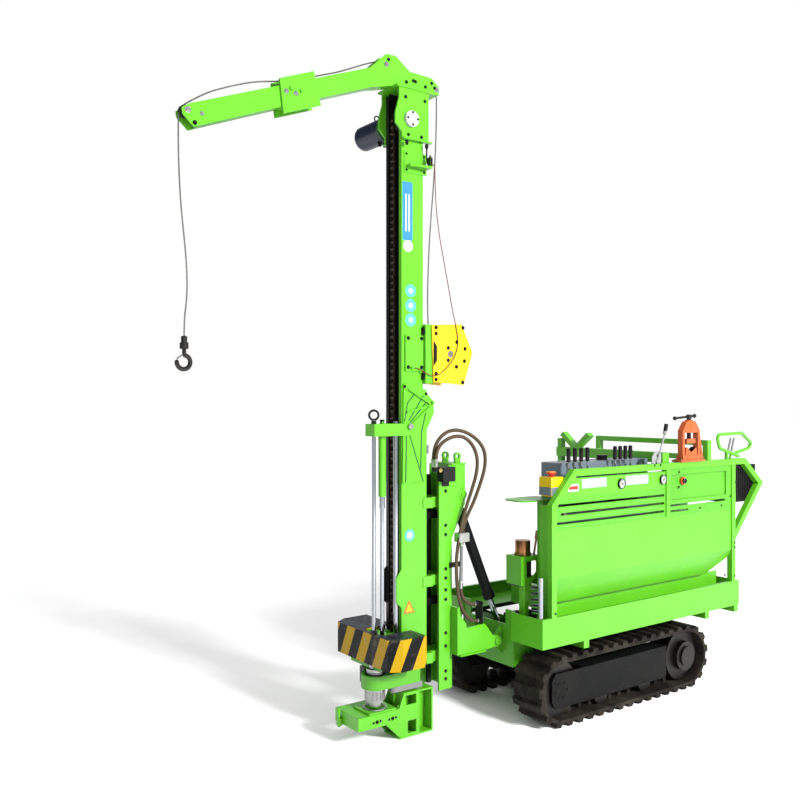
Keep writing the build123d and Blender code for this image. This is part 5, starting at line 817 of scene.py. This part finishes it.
# Mast support: hose ends, clamp, plug, welds and the slide cylinder's gland
FERRULE = [(0, 11.2), (3, 12.6), (24, 12.6), (26, 11.4), (29, 11.4), (31, 12.6), (34, 12.6)]
ferrules = []
for start, axis in (((1254, 107, 1518), UP), ((1254, 131, 1518), UP), ((1042.2, 107, 1092), (0.03, 0, -1)),
                    ((1050.6, 107, 798), (-0.03, 0, 1)), ((946, 107, 692.2), (-1, 0, 0)),
                    ((946, 131, 600), (-1, 0, 0))):
    ferrules += [turned(start, axis, FERRULE, 18), turned(start, axis, [(34, 14), (46, 14)], 6)]
piece("hose_ferrules", ferrules, "zinc", "support")
piece("hose_clamp", brick(1014, 1091, 93, 145, 1074, 1127, 3), "zinc", "support")
piece("manifold_plug", turned((1236, 150, 1501), NEAR, [(-0.5, 13), (3, 13), (4, 11), (5, 4)]),
      "brass", "support")
piece("lift_eye_welds", [turned((1035, y, 1529), UP, [(0, 20), (3, 17), (5, 12)], 16) for y in (55, -55)],
      "lime", "support", smooth=True)
piece("slide_gland", turned((1248, 0, 1296), UP, [(0, 31), (2, 33), (26, 33), (28, 31), (34.5, 29)], 30),
      "black", "support", smooth=True)


# Head: rods with their eye and nuts, feed tube, crosshead
FRONT_ROD, BACK_ROD, FEED_ROD = (1618, 37), (1478, 50), (1567, 44)
EYE_RADIUS = 0.026                 # metres
eye_middle = at(*FRONT_ROD, 1816)
eye_ring = [eye_middle + RIGHT * x + Vector(UP) * z for x, z in many_sided(0, 0, EYE_RADIUS, 28)]
piece("polished_rods", [upright(FRONT_ROD, 604.5, [(0, 12), (1184, 12), (1186, 10)]),
                        upright(BACK_ROD, 589.5, [(0, 14), (1190, 14), (1192, 12)]),
                        upright(FEED_ROD, 589.5, [(0, 12), (730, 12)])],
      "chrome", "head", smooth=True, replaced="head_rods")
piece("rod_eye", [tube(eye_ring + eye_ring[:1], 6.5, 12, caps=False),
                  upright(FRONT_ROD, 1762, [(0, 12.4), (1, 14.5), (20, 14.5), (24, 11), (32, 8)], 18)],
      "dark_steel", "head", smooth=True, replaced="head_rods")
piece("rod_nuts", [upright(FRONT_ROD, 604.6, [(0, 21), (14, 21), (15, 19)], 6),
                   upright(FRONT_ROD, 619.4, [(0, 16), (9, 16), (10, 14)], 6)], "dark_steel", "head")
piece("feed_tube", ring((*FEED_ROD, 1364), 13.5, 21.5, 336), "lime", "mast", smooth=True,
      replaced="feed_barrel")
piece("feed_neck", [ring((*FEED_ROD, 1300), 13.5, 17, 14), ring((*FEED_ROD, 1314), 13.5, 15.5, 50)],
      "chrome", "mast", smooth=True, replaced="feed_barrel")
piece("crosshead_cap", upright(FEED_ROD, 1767, [(0, 14), (22, 14), (24, 12)], 6), "bolt", "mast")
piece("crosshead_boss", turned((1412, 99.5, 1752), NEAR, [(0, 17.5), (9, 17.5), (11, 15), (11.2, 4)], 28),
      "zinc", "mast", smooth=True)
# Raised strips along the crosshead plate's folds and welds, dark green as painted shadow lines
RIB_SHADOW_LINES = [[(1442, 1778), (1423, 1881), (1380, 1928)], [(1413, 1784), (1309, 1924)],
        [(1402, 1775), (1290, 1885)], [(1429, 1722), (1434, 1440)], [(1413, 1722), (1312, 1440)],
        [(1290, 1840), (1323, 1715), (1329, 1511)]]
piece("crosshead_rib_shadows", [tube([at(x, 85.6, z) for x, z in points], 3.4, 8) for points in RIB_SHADOW_LINES],
      "deep", "mast", smooth=True)


# Foot clamp and spindle
SPINDLE = (1585, 0)
PIN_APART = 23                     # the clamp's pins stand this far to each side of its bolts
clamp_side = []
for x, z in ((1622, 131), (1517, 129)):
    clamp_side.append(bolt((x, 75, z), NEAR, 8, 8))
    clamp_side += [outline_plate(many_sided(x + shift, z - shift * 0.06, 7.5, 14), 74.8, 76.2, 0.5)
                   for shift in (-PIN_APART, PIN_APART)]
piece("clamp_side_bolts", clamp_side, "bolt", "mast")
piece("clamp_bush", ring((*SPINDLE, 185.8), 57.5, 66, 5), "zinc", "mast")
piece("chuck_ribs", [upright(rib, 236, [(0, 3.2), (2, 4), (40, 4), (42, 3)], 8)
                     for rib in many_sided(*SPINDLE, 55, 16)], "steel", "spindle", smooth=True)
piece("spindle_rings", [upright(SPINDLE, z, [(0, 48.3), (1.5, 50), (6, 50), (7.5, 48.3)], 40)
                        for z in (296, 380)], "steel", "spindle", smooth=True)


# Stickers on the mast's near side, all blank. Discs: x, z, radius, and the middle's radius, sides and turn.
MAST_FACE = 75.0
MAST_FILM = 0.6
DISCS = ((1392, 2516, 36, 17, 5, 0.3), (1392, 2433, 36, 17, 5, 1.1), (1392, 2352, 36, 17, 5, 2.0),
         (1399, 1137, 33, 19, 24, 0.0))
STRIPES = [rounded(x, x + 10, 2850, 3060, 2) for x in (1398, 1420)]
for name, layer, material, outlines in (
        ("sticker_strip", film, "blue", [rounded(1380, 1449, 2800, 3128, 6)]),
        ("sticker_strip_lines", field, "white", STRIPES),
        ("sticker_round", film, "white", [many_sided(1411, 2768, 34, 32)]),
        ("sticker_discs", film, "cyan", [many_sided(x, z, radius, 32) for x, z, radius, *_ in DISCS]),
        ("sticker_disc_marks", field, "white", [many_sided(x, z, *middle) for x, z, _, *middle in DISCS]),
        ("sticker_triangle_edge", film, "orange", [[(1364, 698), (1444, 698), (1404, 772)]]),
        ("sticker_triangle", field, "yellow", [[(1378, 706), (1430, 706), (1404, 754)]])):
    piece(name, [layer(outline, MAST_FACE, MAST_FILM) for outline in outlines], material, "mast")


# Console panel: gauges, labels and key switch
PANEL_FACE = 482.0
PANEL_FILM = 0.7
TICK_OUT, TICK_HALF, TICKS = 26, 1.5, 13
KEY = (-539, 1369)


def hand(x, z, angle, corners):
    """Outline on a dial, its corners given as (outward, across)."""
    return [(x + out * cos(angle) - across * sin(angle), z + out * sin(angle) + across * cos(angle))
            for out, across in corners]


def gauge(number, x, z):
    foot = (x, PANEL_FACE, z)
    piece(f"gauge_rim_{number}", turned(foot, NEAR, [
        (0, 30), (0.2, 31.6), (11.6, 31.6), (13, 30.6), (13.1, 28.4), (9.7, 27.6)], 40),
          "black", "machine", smooth=True)
    piece(f"gauge_dial_{number}", turned(foot, NEAR, [(9.6, 27.9), (10.2, 27.9), (10.4, 27)], 40),
          "dial", "machine")
    marks = []
    for n in range(TICKS):
        start = 17 if n % 3 == 0 else 20.5
        corners = ((start, TICK_HALF), (TICK_OUT, TICK_HALF), (TICK_OUT, -TICK_HALF), (start, -TICK_HALF))
        marks.append(outline_plate(hand(x, z, radians(-45 + 22.5 * n), corners), PANEL_FACE + 10.3,
                                   PANEL_FACE + 10.8, 0.05))
    needle = hand(x, z, radians(200 - 50 * number), ((22, 0), (-8, 4.5), (-8, -4.5)))
    marks.append(outline_plate(needle, PANEL_FACE + 10.9, PANEL_FACE + 11.5, 0.05))
    marks.append(turned((x, PANEL_FACE + 10.4, z), NEAR, [(0, 3.4), (1.6, 3.2), (2, 2)], 14))
    piece(f"gauge_marks_{number}", marks, "grip", "machine")


gauge(0, 81.0, 1386.0)
gauge(1, -323.0, 1389.0)
for name, layer, material, slot_name, outlines in (
        ("labels_grey", film, "lilac", None, [
            rounded(213, 432, 1376, 1432, 4), rounded(-180, 37, 1373, 1430, 4)]),
        ("label_white", film, "white", "gauge_face", [rounded(458, 549, 1362, 1406, 3)]),
        ("label_red", field, "red", "gauge_face", [rounded(466, 541, 1374, 1394, 1)])):
    piece(name, [layer(outline, PANEL_FACE, PANEL_FILM) for outline in outlines],
          material, "machine", slot_name)
piece("key_collar", turned((KEY[0], PANEL_FACE - 9.9, KEY[1]), NEAR, [
    (0, 26.5), (13.9, 26.5), (15, 25), (15, 17), (14.5, 16.4)], 32),
      "orange", "machine", "vise_orange", smooth=True)
piece("key_barrel", [turned((KEY[0], PANEL_FACE + 3, KEY[1]), NEAR, [
    (0, 16.4), (14, 16.4), (16, 14.5), (16, 5), (15.2, 4)], 28),
    outline_plate(rounded(KEY[0] - 4, KEY[0] + 4, KEY[1] - 14, KEY[1] + 14, 3.5),
                  PANEL_FACE + 15, PANEL_FACE + 19.4, 0.8)], "grip", "machine")


# Console top: levers, stop button, valve cap, ledge and tank fittings
LEVERS = [(x, 404) for x in (462, 407, 352, 297, 44, -5, -54, -103)]
for name, material, bottom, count, profile in (
        ("lever_shafts", "chrome", 1350, 14, [(0, 5.6), (190, 5.3)]),
        ("lever_grips", "grip", 1528, 20, [
            (0, 8), (2, 11), (8, 12.4), (64, 12.9), (76, 12.6), (82, 10.5), (84.5, 6)]),
        ("lever_boots", "grip", 1349.8, 18, [
            (0, 15), (4, 15.5), (8, 12), (12, 14), (16, 10.5), (20, 12), (24, 8.5), (28, 7)])):
    piece(name, [upright(lever, bottom, profile, count) for lever in LEVERS], material, "machine",
          smooth=True)
piece("stop_base", brick(555.2, 656.8, 351.4, 449.8, 1341.4, 1394, 2.5), "tank", "machine")
piece("stop_button", turned((606, 400.85, 1448), UP, [
    (0, 22), (3, 22), (5, 15), (15.5, 15), (16.2, 27), (18, 29), (27, 29), (31, 25.5), (33.5, 16),
    (34.2, 5)], 32), "red", "machine", "stop_yellow", smooth=True)
piece("valve_cap", turned((646, 205, 969.5), UP, [
    (0, 51), (13, 51), (14.5, 49), (15, 46), (84, 46), (86, 45.3), (87, 44), (87, 12)], 40),
      "copper", "machine", smooth=True)
piece("deck_ledge", brick(-1090, 640, 352, 358, 566.2, 700, 1.5), "lime", "machine")
# A thin black strip over the tank paints the shade in the gap above the ledge
piece("tank_gap_shade", brick(-500, 600, 345.4, 348, 700, 800, 0.5), "black", "machine", "tank_grey")
piece("tank_filler", turned((0, 260, 1517), UP, [
    (0, 36), (4, 36), (5, 33), (20, 33), (22, 35), (29, 35), (32, 31), (32.5, 12)], 32),
      "grip", "machine", smooth=True)
piece("tank_sight", [outline_plate(rounded(420, 440, 1180, 1330, 9), 345, 349, 1.0)] +
      [turned((430, 346, z), NEAR, [(0, 6), (6, 6), (7, 4)], 6) for z in (1325, 1185)], "zinc", "machine")
louvers = []
for x in range(-1000, -639, 60):
    outline = [(x, 900), (x + 28, 900), (x + 28, 1150), (x, 1150)]
    louvers += [outline_plate(outline, 120, 124, 2.0), outline_plate(outline, -300, -304, 2.0)]
piece("cover_louvers", louvers, "lime_shade", "machine")


# Pipe vise: screw, bar with round ends, base bolts and jaw teeth
VISE_X, VISE_Y, RAIL_Y = -622.0, 466.0, 470.0
THREAD_PITCH, THREAD_DEPTH, SCREW_RADIUS = 5.0, 1.5, 14.6
BAR_END = 13.6                     # radius of the bar's ends


def screw(bottom, top):
    """Threaded part of the vise's screw."""
    high = top - bottom
    rows = []
    for n in range(int(high / THREAD_PITCH)):
        rows += [(n * THREAD_PITCH, SCREW_RADIUS - THREAD_DEPTH), ((n + 0.5) * THREAD_PITCH, SCREW_RADIUS)]
    return turned((VISE_X, VISE_Y, bottom), UP, rows + [(high, SCREW_RADIUS - THREAD_DEPTH)])


def tooth(side, share):
    """Tooth on one flank of the lower jaw's vee, at a share of its way up."""
    x, z = VISE_X + side * 54 * share, 1554 + 34 * share
    return outline_plate([(x, z), (x + side * 5, z + 3), (x + side * 0.5, z + 5)], 445.5, 486.5, 0.2)


piece("vise_screw", [screw(1643.5, 1692), screw(1767, 1776),
                     turned((VISE_X, VISE_Y, 1776), UP, [(0, 17), (3, 18), (26, 18), (27.5, 15)])],
      "dark_steel", "machine", "light_steel", smooth=True)
bar_ends = (Vector((VISE_X - 60, VISE_Y, 1794)), Vector((VISE_X + 150, VISE_Y, 1780)))
bar_run = bar_ends[1] - bar_ends[0]
BALL = [(BAR_END - BAR_END * cos(pi * n / 8), max(0.6, BAR_END * sin(pi * n / 8))) for n in range(9)]
piece("vise_bar", [turned(bar_ends[0], bar_run, [(0, 7.6), (bar_run.length, 7.6)], 14)] +
      [turned(end - bar_run.normalized() * BAR_END, bar_run, BALL, 18) for end in bar_ends],
      "dark_steel", "machine", "light_steel", smooth=True)
piece("vise_bolts", [bolt((VISE_X + side * 114, RAIL_Y + y, 1506), UP, 7, 6)
                     for side in (-1, 1) for y in (-28, 18)], "steel", "machine", "black_steel")
piece("vise_teeth", [tooth(side, 0.12 + 0.12 * n) for side in (-1, 1) for n in range(7)],
      "dark_steel", "machine")
